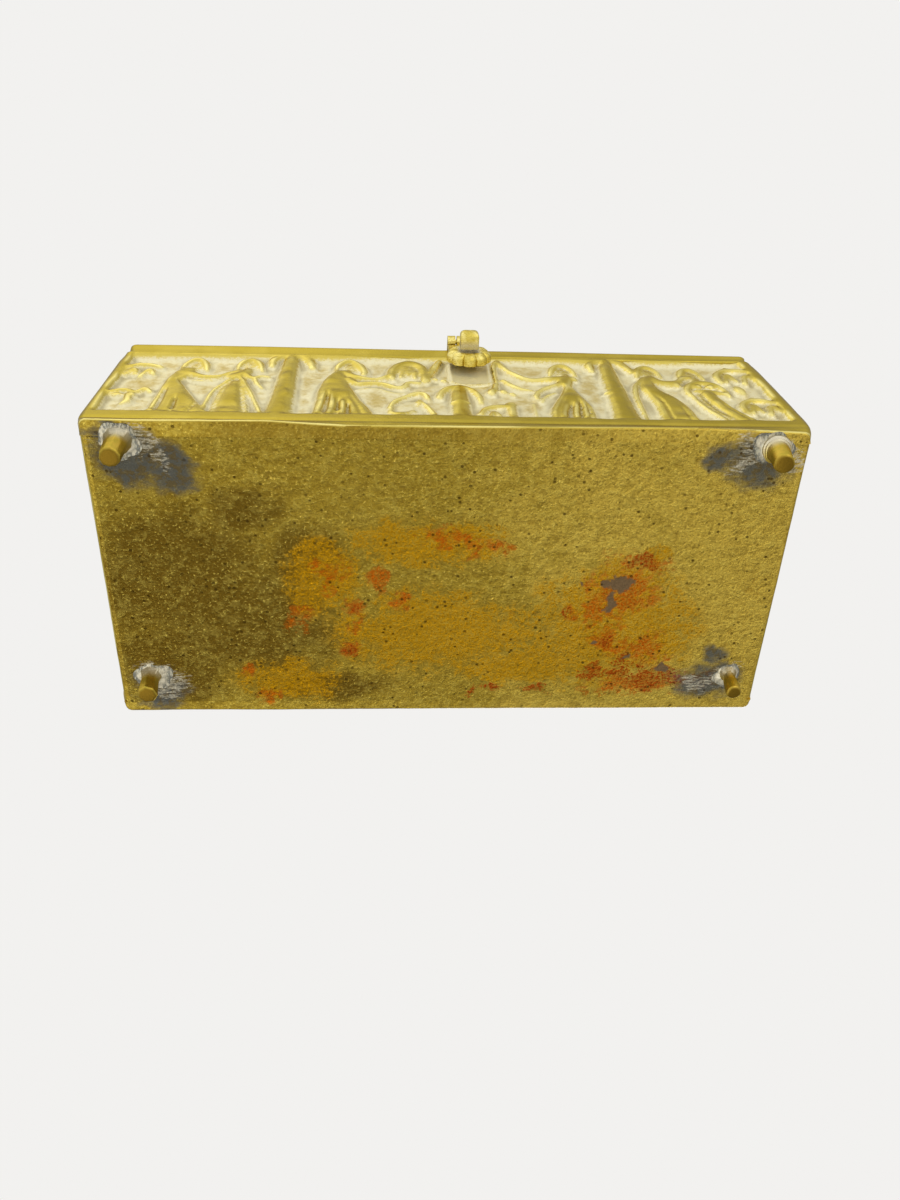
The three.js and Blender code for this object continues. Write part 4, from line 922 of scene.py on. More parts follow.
def soft_solder(colours):
    """Tin solder wiped round the feet while pasty: a dull silver-white crust that thins out over
    the scorch."""
    material, tree = new_material("wiped_tin_solder")
    where = add_node(tree, "ShaderNodeTexCoord").outputs["Object"]
    wiped = add_node(tree, "ShaderNodeMapping", {0: where, "Rotation": (0, 0, 0.25), "Scale": (1, 0.4, 1)})
    wisps = grain(tree, wiped.outputs[0], 1.3, 4, 0.65)
    crust = grain(tree, where, 0.6, 3, 0.6)
    thin = worked(tree, "ADD", painted(tree, "burnt"), between(tree, wisps, 0.32, 0.68, -0.7, 0.5))
    fading = between(tree, painted(tree, "burnt"), 0, 1, 0.8, 0.45)
    streaks = worked(tree, "MULTIPLY", between(tree, wisps, 0.5, 0.64), fading)
    dusty = between(tree, crust, 0.4, 0.8, 0, 0.35)
    dirt = mixed(tree, dusty, paint_of(colours.scorch), paint_of(colours.plate_middle))
    colour = mixed(tree, between(tree, thin, 0.1, 1.0), paint_of(colours.solder), dirt)
    colour = mixed(tree, streaks, colour, paint_of(colours.tin_white))
    height = worked(tree, "ADD", wisps, worked(tree, "MULTIPLY", crust, 0.6))
    finish_tree(tree, colour, 0.7, 0.42, height, 0.12)
    return material


# Wall pieces

def frame_height(drawing, bounds, relief, seed):
    """Height of the plain frame round a picture, falling to the ground with a wavering inner edge"""
    left, right, low, high = bounds
    u, v = drawing.u, drawing.v
    waver = 0.5 * ripple(u, v, 15, seed) + 0.25 * ripple(u, v, 5, seed + 1)
    base = low + 1.1 * ripple(u, v * 0, 24, seed + 4)
    inward = np.minimum.reduce([u - left, right - u, v - base]) + waver
    shoulder = (high - v + 1.6 * ripple(u, v * 0, 12, seed + 2)) / 5
    return relief * np.maximum(1 - smooth(inward / 1.6 + 0.5), 0.92 * (1 - smooth(shoulder + 0.5)))


def wall_grid(half, step, corner, foot):
    """Positions of a wall's surface points along it and up it"""
    return spaced(-half, half, step, corner, corner), spaced(0, WALL_HEIGHT, step, foot, RIM_ROUND)


def wall_surface(name, side, us, vs, picture, bounds, sizes, seed, step,
                 flats=(), wander=None, corners=True):
    """A wall's outer face with its relief, waviness and rounded edges, and what its material reads"""
    relief, corner, foot = mm(sizes.relief), mm(sizes.corner_round), mm(sizes.foot_round)
    drawing = Drawing(us, vs)
    picture(drawing)
    u, v = drawing.u, drawing.v
    heights = drawing.heights * (0.93 + 0.09 * ripple(u, v, 4, seed))
    heights = np.maximum(heights, frame_height(drawing, bounds, relief, seed + 3))
    heights = np.clip(0.7 * softened(heights, 1) + 0.3 * softened(heights, 6), 0, relief)
    for left, right, low, high, level in flats:
        inside = np.minimum.reduce([u - left, right - u, v - low, high - v])
        share = smooth(inside / 1.0 + 0.5)
        heights = heights * (1 - share) + level * share
    crease, wear_and_highlight = crease_shade_and_wear(heights, step)
    sand = 0.06 * ripple(u, v, 1.1, seed + 7) + 0.05 * ripple(u, v, 2.3, seed + 8)
    sand = sand + 0.11 * ripple(u, v, 5.5, seed + 15)
    heights = heights + sand * (1 - 0.7 * heights / relief)
    half = us[-1]
    at_edge = smooth(1 - v / 5)
    sway = 0.2 + 0.2 * ripple(u, v, 34, seed + 9)
    sway = sway * smooth(v / 4) * smooth((WALL_HEIGHT - v) / 4) + 0.02
    trough = 0.35 * smooth(1 - np.abs(v - 4.6) / 1.7) * (0.7 + 0.3 * ripple(u, v * 0, 17, seed + 10))
    w = heights - relief - np.clip(sway + trough, 0, 0.8) * (heights / relief)
    drop = rounding(v, foot) + rounding(WALL_HEIGHT - v, RIM_ROUND)
    if corners:
        near = np.clip(1 - (half - np.abs(u)) / 12, 0, 1)
        u = u - np.sign(u) * belly(v) * near
        drop = drop + rounding(half - np.abs(drawing.u), corner)
    else:
        drop = drop + belly(v)
    stand = 0 if wander is None else np.interp(u, *zip(*wander)) * at_edge
    ceiling = 0 if wander is None else 1.2
    w = np.clip(w - drop + stand, -WALL_THICK + 0.6, ceiling)
    lift = 0.12 + 0.12 * ripple(u, v * 0, 26, seed + 11)
    raised_v = v + lift * np.clip(1 - v / 6, 0, 1)
    obj = surface(name, side, drawing, w)
    set_points(obj, side.place(u, raised_v, w))
    # Painted highlight: a bright line along the rounding of the wall's lower edge and another along the lower
    # band's ridge, kept with the crests' wear
    edge = 1.2 * smooth(1 - np.abs(v - 0.7) / 1.0) * (0.75 + 0.25 * ripple(u, v * 0, 12, seed + 13))
    bead = 0.6 * smooth(1 - np.abs(v - 6.9) / 1.0) * (0.5 + 0.5 * ripple(u, v * 0, 15, seed + 14))
    paint(obj, "raised", heights / relief)
    # Painted shade in the creases, mixed with tarnish
    paint(obj, "crease", crease)
    paint(obj, "open", 1 - smooth(softened(heights, 60) / relief * 2.4))
    paint(obj, "wear_and_highlight", np.maximum.reduce([wear_and_highlight, edge, bead]))
    paint(obj, "under", np.zeros_like(u))
    return obj


def mark_rough_sides(obj, side, filed=0.0):
    """Marks a wall's inside and the part that faces down, which takes the underside's stains as well"""
    points = points_of(obj)
    u, v, w = side.read(points)
    inside = w < -WALL_THICK + LEVEL_SLACK
    below = np.where((v < FOOT_BAND) & ~inside, 1.0, 0.0)
    obj.data.attributes["under"].data.foreach_set("value", np.maximum(below, inside).astype(np.float32))
    paint_stains(obj, points[:, 0], points[:, 1] - MIDDLE_Y, below)
    paint(obj, "filed", below * filed * smooth((u + 80) / 20) * (1 - smooth(u / 80)))


class CASKET_OT_front_wall(bpy.types.Operator):
    """Cast front wall with its frieze of figures and trees"""
    bl_idname = "casket.front_wall"
    bl_label = "Front wall"

    def execute(self, context):
        sizes, colours = context.scene.casket_sizes, context.scene.casket_colours
        half = LENGTH / 2
        step = mm(sizes.wall_step)
        us, vs = wall_grid(half, step, mm(sizes.corner_round), mm(sizes.foot_round))
        low, high = LOCK_LOW - FRONT.origin, LOCK_HIGH - FRONT.origin
        lock = (low[0] + 0.4, high[0] - 0.4, low[2] + 2, WALL_HEIGHT - 3, 0.4)
        bounds = (-half + 3.6, half - 4.4, PICTURE_LOW, PICTURE_HIGH)
        obj = wall_surface("front_wall", FRONT, us, vs, front_picture, bounds, sizes, 11, step,
                           (lock,), EDGE_WANDER)
        thicken(obj, FRONT, -WALL_THICK, foot=True)
        mark_rough_sides(obj, FRONT, 1.0)
        finish(obj, relief_brass("cast_brass_front", colours), ["front_panel"], "box")
        return {"FINISHED"}


class CASKET_OT_rear_wall(bpy.types.Operator):
    """Cast rear wall with pads for the hinges"""
    bl_idname = "casket.rear_wall"
    bl_label = "Rear wall"

    def execute(self, context):
        sizes, colours = context.scene.casket_sizes, context.scene.casket_colours
        half = LENGTH / 2
        step = mm(sizes.side_step)
        us, vs = wall_grid(half, step, mm(sizes.corner_round), mm(sizes.foot_round))
        relief = mm(sizes.relief)
        pads = []
        for leaf in ("hinge_body_leaf_left", "hinge_body_leaf_right"):
            low, high = span(leaf)
            pads.append((-high[0] - 1, -low[0] + 1, low[2] - WALL_FOOT - 1, WALL_HEIGHT + 2, relief))
        bounds = (-half + 4, half - 4, PICTURE_LOW, PICTURE_HIGH)
        obj = wall_surface("rear_wall", REAR, us, vs, rear_picture, bounds, sizes, 41, step, pads)
        thicken(obj, REAR, -WALL_THICK, foot=True)
        mark_rough_sides(obj, REAR)
        finish(obj, relief_brass("cast_brass_rear", colours), ["rear_panel"], "box")
        return {"FINISHED"}


class CASKET_OT_end_walls(bpy.types.Operator):
    """The two cast end walls, set in between the front and the rear wall"""
    bl_idname = "casket.end_walls"
    bl_label = "End walls"

    def execute(self, context):
        sizes, colours = context.scene.casket_sizes, context.scene.casket_colours
        half = DEPTH / 2 - WALL_THICK
        step = mm(sizes.side_step)
        us, vs = wall_grid(half, step, TIGHT_ROUND, mm(sizes.foot_round))
        bounds = (-half + 3, half - 3, PICTURE_LOW, PICTURE_HIGH)
        material = relief_brass("cast_brass_ends", colours)
        for name, side, node, seed in (("left_end_wall", LEFT, "left_end_panel", 71),
                                       ("right_end_wall", RIGHT, "right_end_panel", 91)):
            obj = wall_surface(name, side, us, vs, end_picture, bounds, sizes, seed, step, corners=False)
            thicken(obj, side, -WALL_THICK, foot=True)
            mark_rough_sides(obj, side)
            finish(obj, material, [node], "box")
        return {"FINISHED"}


# Marks on the underside, from the plate's middle: x, y, radius along x, radius along y, in mm
STAINS = {
    "yellow": ((-38, -1, 13, 15), (-6, -12, 26, 9), (-3, 19, 34, 17), (52, 17, 30, 26), (64, -7, 5, 4),
               (-50, 37, 18, 9), (28, 31, 30, 8)),
    "rust": ((-36, -2, 6, 6), (-20, -1, 3.5, 6), (-29, 11, 5, 3.5), (-28, 17, 3.5, 4), (-31, 25, 6, 4.5),
             (-45, 13, 5, 5), (-62, 34, 3, 3.5), (-57, 43, 4, 3.5), (0, -14, 12, 3.5), (12, -10, 7, 3),
             (38.5, 12, 3.5, 4.5), (47, 9, 6, 13), (52, 20, 9, 8), (66, 24, 9, 9), (56, 2, 13, 12),
             (-14, 8, 3, 4), (62, 40, 20, 4)),
    "red": ((13, 41.5, 6.5, 2.2), (28, 41.5, 9, 1.4), (70, 36, 11, 6), (57, 32, 7, 6), (84, 38, 7, 5),
            (-29, 10.5, 3, 2), (-31, 26, 3, 3.5), (38.5, 13, 2.2, 3), (50, 21, 4, 3), (61, -6, 7, 3),
            (48, 33, 4, 5)),
    "scale": ((52, 1, 5.6, 4.2), (51, 8, 3.4, 3.2), (40, 1, 1.2, 1.2), (48, 24, 1.7, 1), (58.5, 29, 2.4, 1.5),
              (71, 32, 2.4, 1.6)),
    "scorch": ((-91, -39, 11, 10), (-80, -36, 9, 9), (89, -39.5, 11, 9), (78, -41, 7, 6), (-90, 40.5, 10, 8),
               (86, 37.5, 12, 9), (88, 27.5, 5, 4), (-95, -47, 9, 3)),
    "tin": ((-92, -44, 8, 4.5), (-86.5, -43, 6, 3), (90, -44, 10, 4.5), (84, -39, 6, 4), (99, -41, 3, 5),
            (-88.5, 39, 8, 6), (-93, 30, 5, 2.5), (93, 35, 6, 5), (84, 39.5, 6, 3), (-82, -38, 4, 3)),
}
# Browner skin of the cast plate: x, y, radius along x, radius along y, in mm
BROWN = ((-82, -2, 28, 24), (-62, 16, 28, 20), (-84, 30, 18, 16), (-62, -22, 12, 8), (-36, 40, 20, 5),
         (-42, -7, 12, 11))
# Hollows and lumps of the casting, from the plate's middle: x, y, radius, depth (a lump is negative)
CAST_MARKS = (
    (-74, -15, 1.9, -0.5), (-58, -13.5, 1.1, 0.5), (-80.5, -27.5, 1.9, 0.5), (-78, -24.5, 1.6, 0.45),
    (-45.5, -33, 1.3, 0.5), (-26.5, -44, 1.5, 0.55), (-12, -43.5, 1.5, 0.6), (-11, -42, 0.9, 0.5),
    (16.5, -46, 1, 0.5), (38.5, -45, 1.2, 0.6), (-52, -34, 1.4, 0.4), (-50, -30, 1.2, 0.35),
    (97, 5.5, 1.4, 0.4), (94.5, 3.5, 1.2, 0.45), (96, 0, 1.3, 0.4), (98, 3, 0.9, 0.4), (91, 19, 0.9, 0.45),
    (90.5, 24, 0.9, 0.4), (20.5, 12, 1.1, 0.4), (28, 12.5, 1.2, 0.4), (26, 14.5, 0.9, 0.35),
    (-98.5, -2, 1, -0.35), (52, 1, 4, 0.12), (21, -19.5, 1, 0.25), (24, -19.5, 1, 0.25),
)


def stain_amount(x, y, patches, seed, reach=1.25, fall=1.0):
    """How strongly a stain covers a place, from 0 to 1, with a wandering outline"""
    amount = np.zeros_like(x)
    x = x + 2.4 * ripple(x, y, 6, seed) + 1.2 * ripple(x, y, 2.2, seed + 1)
    y = y + 2.4 * ripple(x, y, 6, seed + 2) + 1.2 * ripple(x, y, 2.2, seed + 3)
    for middle_x, middle_y, wide, deep in patches:
        away = np.hypot((x - middle_x) / wide, (y - middle_y) / deep)
        amount = np.maximum(amount, smooth((reach - away) / fall))
    return amount


def paint_stains(obj, x, y, share=1.0):
    """Paints each stain, and the browner skin, on the points of a piece"""
    for seed, (name, patches) in enumerate(STAINS.items()):
        paint(obj, name, share * stain_amount(x, y, patches, 300 + 10 * seed))
    paint(obj, "brown", share * stain_amount(x, y, BROWN, 390, 1.6, 1.3))


def plate_surface(x, y):
    """Level of the plate's underside under its flush edges, in mm outwards"""
    rough = 1 - smooth((x + 45) / 60)
    level = 0.11 * ripple(x, y, 14, 201) + 0.06 * ripple(x, y, 5, 202)
    level = level + (0.035 + 0.07 * rough) * ripple(x, y, 1.7, 203) + 0.03 * ripple(x, y, 0.9, 204)
    level = level - 0.05 * np.clip(ripple(x, y, 2.4, 205), 0, 1) * rough
    for middle_x, middle_y, radius, deep in CAST_MARKS:
        away = np.hypot(x - middle_x, y - middle_y) / radius
        lip = 0.25 * deep * np.exp(-((away - 1.25) / 0.25) ** 2)
        level = level - deep * np.clip(1 - away * away, 0, 1) + lip
    return level


class CASKET_OT_bottom_plate(bpy.types.Operator):
    """Bottom plate as cast, let in between the walls, with its pits and stains"""
    bl_idname = "casket.bottom_plate"
    bl_label = "Bottom plate"

    def execute(self, context):
        sizes, colours = context.scene.casket_sizes, context.scene.casket_colours
        half_u, half_v = LENGTH / 2 - WALL_THICK + TUCK, DEPTH / 2 - WALL_THICK + TUCK
        us = spaced(-half_u, half_u, mm(sizes.plate_step), TIGHT_ROUND, TIGHT_ROUND)
        vs = spaced(-half_v, half_v, mm(sizes.plate_step), TIGHT_ROUND, TIGHT_ROUND)
        drawing = Drawing(us, vs)
        x, y = drawing.u, -drawing.v
        side = np.minimum(half_u - np.abs(drawing.u), half_v - np.abs(drawing.v))
        w = plate_surface(x, y) * smooth(side / 3)
        fade = 1 - smooth((x + 5 * ripple(x, y, 9, 206)) / 25)
        w = w - mm(sizes.seam) * fade * smooth(1 - (half_v - drawing.v) / 0.7)
        obj = surface("cast_bottom", UNDER, drawing, w)
        thicken(obj, UNDER, -(PLATE_HIGH[2] - PLATE_LOW[2]), (0.5, 1.0))
        points = points_of(obj)
        halfway = (PLATE_LOW[2] + PLATE_HIGH[2]) / 2
        outside = np.where(points[:, 2] < halfway + LEVEL_SLACK, 1.0, 0.0)
        paint_stains(obj, points[:, 0], points[:, 1] - MIDDLE_Y, outside)
        finish(obj, plate_brass(colours), ["bottom_plate"], "box", 60)
        return {"FINISHED"}


class CASKET_OT_lid(bpy.types.Operator):
    """Cast lid: relief on top, a rounded plain rim and a hollow underneath"""
    bl_idname = "casket.lid"
    bl_label = "Lid"

    def execute(self, context):
        sizes, colours = context.scene.casket_sizes, context.scene.casket_colours
        relief, edge, corner = mm(sizes.lid_relief), mm(sizes.lid_round), mm(sizes.corner_round)
        half_u, half_v = LID_LENGTH / 2, DEPTH / 2
        us = spaced(-half_u, half_u, mm(sizes.lid_step), edge, edge)
        vs = spaced(-half_v, half_v, mm(sizes.lid_step), edge, edge)
        drawing = Drawing(us, vs)
        lid_picture(drawing)
        u, v = drawing.u, drawing.v
        side = np.minimum(half_u - np.abs(u), half_v - np.abs(v))
        band = 8 + 0.4 * ripple(u, v, 12, 131)
        heights = np.maximum(drawing.heights, relief * (1 - smooth((side - band) / 1.3 + 0.5)))
        bead = np.exp(-((side - band - 2.6) / 0.7) ** 2)
        heights = np.clip(softened(np.maximum(heights, 0.9 * bead), 2), 0, relief)
        low, high = span("hasp_leaf")
        inside = np.minimum.reduce([u - low[0] + 1, high[0] + 1 - u, high[1] - MIDDLE_Y + 1 - v])
        share = smooth(inside / 0.8 + 0.5)
        heights = heights * (1 - share) + relief * share
        crease, wear_and_highlight = crease_shade_and_wear(heights, mm(sizes.lid_step))
        sway = 0.16 + 0.14 * ripple(u, v, 30, 132)
        w = heights - relief + 0.04 * ripple(u, v, 1.3, 133) * (1 - 0.5 * heights / relief) - 0.05
        w = np.minimum(w - sway * heights / relief * (1 - share), 0)
        past_u = np.clip(np.abs(u) - half_u + corner, 0, None)
        past_v = np.clip(np.abs(v) - half_v + corner, 0, None)
        over = np.hypot(past_u, past_v)
        w = w - rounding(np.where(over > 0, np.minimum(corner - over, side), side), edge)
        w = w - lid_sag(u, v)
        obj = surface("cast_lid", TOP, drawing, w)
        set_points(obj, TOP.place(*rounded_corner(u, v, half_u, half_v, corner), w))
        paint(obj, "raised", heights / relief)
        # Painted shade in the creases, mixed with tarnish
        paint(obj, "crease", crease)
        paint(obj, "open", 1 - smooth(softened(heights, 30) / relief * 2.4))
        # Wear and painted highlight on the crests and along the lid's rounded edge
        paint(obj, "wear_and_highlight", np.maximum(wear_and_highlight, smooth(1 - np.abs(side - 1.3) / 1.2) * 0.7))
        pick_rim(obj)
        depth, rim, skin = LID_HIGH[2] - LID_LOW[2], mm(sizes.lid_rim), mm(sizes.lid_skin)
        outer = ((0.0, 0.38), (0.1, 0.52), (0.2, 0.68), (0.12, 0.84), (0.05, 0.96), (0.3, 1.0))
        for inset, share in outer:
            pull_ring(obj, lambda points, i=inset, s=share: self.ring(points, i, -s * depth, s))
        inner = ((rim - 0.3, -depth), (rim, -depth + 0.3), (rim, -skin - 0.4), (rim + 0.4, -skin))
        for inset, level in inner:
            pull_ring(obj, lambda points, i=inset, z=level: self.ring(points, i, z))
        close_rim(obj)
        u, v, w = TOP.read(points_of(obj))
        inside = (np.abs(u) < half_u - rim + 1) & (np.abs(v) < half_v - rim + 1)
        inside &= (w < -skin + LEVEL_SLACK) & (w > -depth + 2 * LEVEL_SLACK)
        paint(obj, "under", np.where(inside, 1.0, 0.0))
        finish(obj, relief_brass("cast_brass_lid", colours), ["lid"], "lid")
        return {"FINISHED"}

    def ring(self, points, inset, level, share=1.0):
        """The rim's outline moved in from the lid's side, at one level; the upper part follows the sag"""
        u, v, _ = TOP.read(points)
        half_u, half_v = LID_LENGTH / 2, DEPTH / 2
        waver = 0.12 * (1 + ripple(u, v, 21, 134)) if inset < 1 else 0
        reach_u, reach_v = np.abs(u).max(), np.abs(v).max()
        u = u * (half_u - inset - waver) / reach_u
        v = v * (half_v - inset - waver) / reach_v
        return TOP.place(u, v, level - (1 - share) * lid_sag(u, v))


def lid_sag(u, v):
    """How far the lid has sunk along its front edge"""
    return np.interp(u, *zip(*LID_SAG)) * smooth(1 - (v + DEPTH / 2) / 16)


def rounded_corner(u, v, half_u, half_v, radius):
    """Grid points with the corners of their rectangle drawn in to a radius"""
    over_u = np.clip(np.abs(u) - half_u + radius, 0, None)
    over_v = np.clip(np.abs(v) - half_v + radius, 0, None)
    longest = np.maximum(over_u, over_v)
    shrink = np.where(longest > 0, longest / np.maximum(np.hypot(over_u, over_v), 1e-9), 1)
    both = (over_u > 0) & (over_v > 0)
    u = np.where(both, np.sign(u) * (half_u - radius + over_u * shrink), u)
    v = np.where(both, np.sign(v) * (half_v - radius + over_v * shrink), v)
    return u, v


class CASKET_OT_lock_plate(bpy.types.Operator):
    """Plain plate let into the frieze behind the hasp, dished and rimmed"""
    bl_idname = "casket.lock_plate"
    bl_label = "Lock plate"

    def execute(self, context):
        colours = context.scene.casket_colours
        low, high = LOCK_LOW - FRONT.origin, LOCK_HIGH - FRONT.origin
        ground = -mm(context.scene.casket_sizes.relief)
        step = 0.4
        us = spaced(low[0], high[0], step, 0.8, 0.8)
        vs = spaced(low[2], high[2], step, 0.8, 0.4)
        drawing = Drawing(us, vs)
        u, v = drawing.u, drawing.v
        middle = (low[0] + high[0]) / 2
        half = (high[0] - low[0]) / 2
        bottom = low[2] + 3 * ((u - middle) / half) ** 2
        share = (v - low[2]) / (high[2] - low[2])
        v = bottom + share * (high[2] - bottom)
        side = np.minimum(half - np.abs(u - middle), v - bottom)
        lip = np.exp(-((side - 1.4) / 1.0) ** 2)
        w = ground + 0.55 + 0.35 * lip - 0.7 * np.clip(1 - side / 1.4, 0, 1) ** 2
        w = w + 0.1 * ripple(u, v, 4, 151) + 0.05 * ripple(u, v, 1.4, 152)
        obj = surface("lock_face", FRONT, drawing, w)
        set_points(obj, FRONT.place(u, v, w))
        paint(obj, "raised", 0.12 + 0.5 * lip * smooth(1 - (v - bottom) / 4))
        # Wear and painted highlight along the lip
        paint(obj, "wear_and_highlight", lip * 0.3)
        thicken(obj, FRONT, -(LOCK_HIGH[1] - FRONT_LOW[1]), (0.5, 1.0))
        finish(obj, relief_brass("cast_brass_lock", colours), ["lock_plate"], "box")
        return {"FINISHED"}


# Feet, solder and fittings

def turned(name, sides, rings, angle=0.0):
    """A round piece on the Z axis: a disc extruded from ring to ring of (radius, level)"""
    deselect()
    radius, level = rings[0]
    bpy.ops.mesh.primitive_circle_add(
        vertices=sides, radius=radius / MM, fill_type="NGON",
        location=(0, 0, level / MM), rotation=(0, 0, angle),
    )
    obj = bpy.context.object
    obj.name = name
    bpy.ops.object.transform_apply(location=True, rotation=True, scale=True)
    bpy.ops.object.mode_set(mode="EDIT")
    bpy.ops.mesh.select_all(action="SELECT")
    for (r0, z0), (r1, z1) in zip(rings, rings[1:]):
        bpy.ops.mesh.extrude_region_move(TRANSFORM_OT_translate={"value": (0, 0, (z1 - z0) / MM)})
        bpy.ops.transform.resize(value=(r1 / r0, r1 / r0, 1), center_override=(0, 0, z1 / MM))
    face_outwards()
    return obj


def beveled(obj, width, segments=2, angle=30):
    """Rounds the sharp edges of a piece"""
    choose(obj)
    bevel = obj.modifiers.new("edge", "BEVEL")
    bevel.width = width
    bevel.segments = segments
    bevel.limit_method = "ANGLE"
    bevel.angle_limit = math.radians(angle)
    bpy.ops.object.modifier_apply(modifier=bevel.name)


# Each foot: sides of its rod, turn of the rod, radii at tip, waist and root in mm, bevel in mm
FEET = {
    "front_left": (10, 0.16, (3.0, 3.15, 3.3), 0.35),
    "front_right": (20, 0.02, (2.9, 3.1, 3.25), 0.5),
    "rear_left": (7, 0.3, (3.1, 2.9, 2.7), 0.25),
    "rear_right": (20, 0.0, (2.4, 2.3, 2.0), 0.6),
}


class CASKET_OT_feet(bpy.types.Operator):
    """Four stub feet, each filed differently"""
    bl_idname = "casket.feet"
    bl_label = "Feet"

    def execute(self, context):
        colours = context.scene.casket_colours
        material = foot_brass(colours)
        for name, (sides, turn, radii, bevel) in FEET.items():
            low, high = span(f"foot_{name}")
            tip, waist, root = radii
            top = high[2] + 0.2
            rings = [(tip * 0.8, 0.0), (tip, 0.5), (waist, top * 0.45), (root, top * 0.8)]
            if name == "front_right":
                rings += [(root + 0.5, top * 0.82), (root + 0.5, top * 0.87), (root + 1.0, top * 0.88)]
            rings += [(root + 1.0, top)]
            obj = turned(f"stub_foot_{name}", sides, rings, turn)
            points = points_of(obj)
            middle = (low[:2] + high[:2]) / 2
            lean = {"front_left": (-0.3, 1.2), "front_right": (-0.3, 1.2), "rear_left": (0.5, 1.2)}
            dx, dy = lean.get(name, (-0.4, 1.2))
            height = points[:, 2].copy()
            turn_at = np.arctan2(points[:, 1], points[:, 0])
            dent = 1 + 0.03 * np.sin(3 * turn_at + height) + 0.02 * np.sin(5 * turn_at + 2 * height)
            points[:, :2] *= dent[:, None]
            if name == "front_right":
                points[:, 2] += np.where((height < 0.6) & (points[:, 0] < 0), 0.9 * -points[:, 0] / tip, 0)
            points[:, 0] += middle[0] + dx * (0.5 - height / top)
            points[:, 1] += middle[1] + dy * (0.5 - height / top)
            set_points(obj, points)
            paint(obj, "tin", np.clip((height / top - 0.6) / 0.3, 0, 1) * (0.6 - 0.4 * np.sin(turn_at)))
            # Tip of each foot marked for painted dark reflection on its cut end
            paint(obj, "cut", np.clip(1 - height / 0.4, 0, 1))
            beveled(obj, bevel / MM, 3)
            finish(obj, material, [f"foot_{name}"], "box", 40)
        return {"FINISHED"}


class CASKET_OT_solder(bpy.types.Operator):
    """A lumpy pool of solder round each foot"""
    bl_idname = "casket.solder"
    bl_label = "Solder pools"

    def execute(self, context):
        material = soft_solder(context.scene.casket_colours)
        reaches = {"front_left": (1.5, 1.25), "front_right": (-1.7, 1.0), "rear_left": (1.5, -0.6),
                   "rear_right": (-0.9, -1.5)}
        for seed, (name, pull) in enumerate(reaches.items()):
            low, high = span(f"solder_{name}")
            deselect()
            bpy.ops.mesh.primitive_uv_sphere_add(segments=72, ring_count=36, radius=1 / MM)
            obj = bpy.context.object
            obj.name = f"solder_pool_{name}"
            bpy.ops.object.mode_set(mode="EDIT")
            bpy.ops.mesh.select_all(action="SELECT")
            bpy.ops.mesh.bisect(plane_co=(0, 0, 0), plane_no=(0, 0, 1), clear_outer=True, use_fill=True)
            face_outwards()
            points = points_of(obj)
            turn = np.arctan2(points[:, 1], points[:, 0])
            flat = np.hypot(points[:, 0], points[:, 1])
            middle, radius = (low[:2] + high[:2]) / 2, (high[0] - low[0]) / 2
            spread = radius * (1 + 0.1 * np.sin(2 * turn + seed) + 0.07 * np.sin(5 * turn + 2 * seed))
            lumps = 0.22 * ripple(turn * 4, flat * 6, 1, 400 + seed)
            lumps = lumps + 0.12 * ripple(turn * 9, flat * 12, 1, 410 + seed)
            points[:, 0] *= spread
            points[:, 1] *= spread
            toward = np.clip((points[:, 0] * pull[0] - points[:, 1] * pull[1]) / radius, 0, 2)
            points[:, :2] *= (1 + 0.12 * toward)[:, None]
            within = np.clip(1 - flat ** 2, 0, 1)
            points[:, 2] *= 1.25 * within ** 1.3 + 1.2 * lumps * within
            points[:, :2] += middle
            points[:, 2] += high[2] + 0.3
            set_points(obj, points)
            paint(obj, "burnt", smooth((flat - 0.45) / 0.55))
            finish(obj, material, [f"solder_{name}"], "box", 80)
        return {"FINISHED"}


def block(name, low, high):
    """A block between two corners, in mm"""
    deselect()
    bpy.ops.mesh.primitive_cube_add(size=1)
    obj = bpy.context.object
    obj.name = name
    points = points_of(obj) / MM
    set_points(obj, (np.array(low) + np.array(high)) / 2 + points * (np.array(high) - np.array(low)))
    return obj


def round_bar(name, radius, x0, x1, y, z, sides=40):
    """A round bar along X"""
    obj = turned(name, sides, [(radius, x0), (radius, x1)])
    points = points_of(obj)
    set_points(obj, np.column_stack([points[:, 2], points[:, 1] + y, z - points[:, 0]]))
    return obj


def united(obj, others, operation="UNION"):
    """Joins other solids to a piece, or cuts them from it"""
    for other in others:
        cut = obj.modifiers.new("joint", "BOOLEAN")
        cut.operation = operation
        cut.solver = "EXACT"
        cut.object = other
        bpy.context.view_layer.objects.active = obj
        bpy.ops.object.modifier_apply(modifier=cut.name)
        bpy.data.objects.remove(other, do_unlink=True)


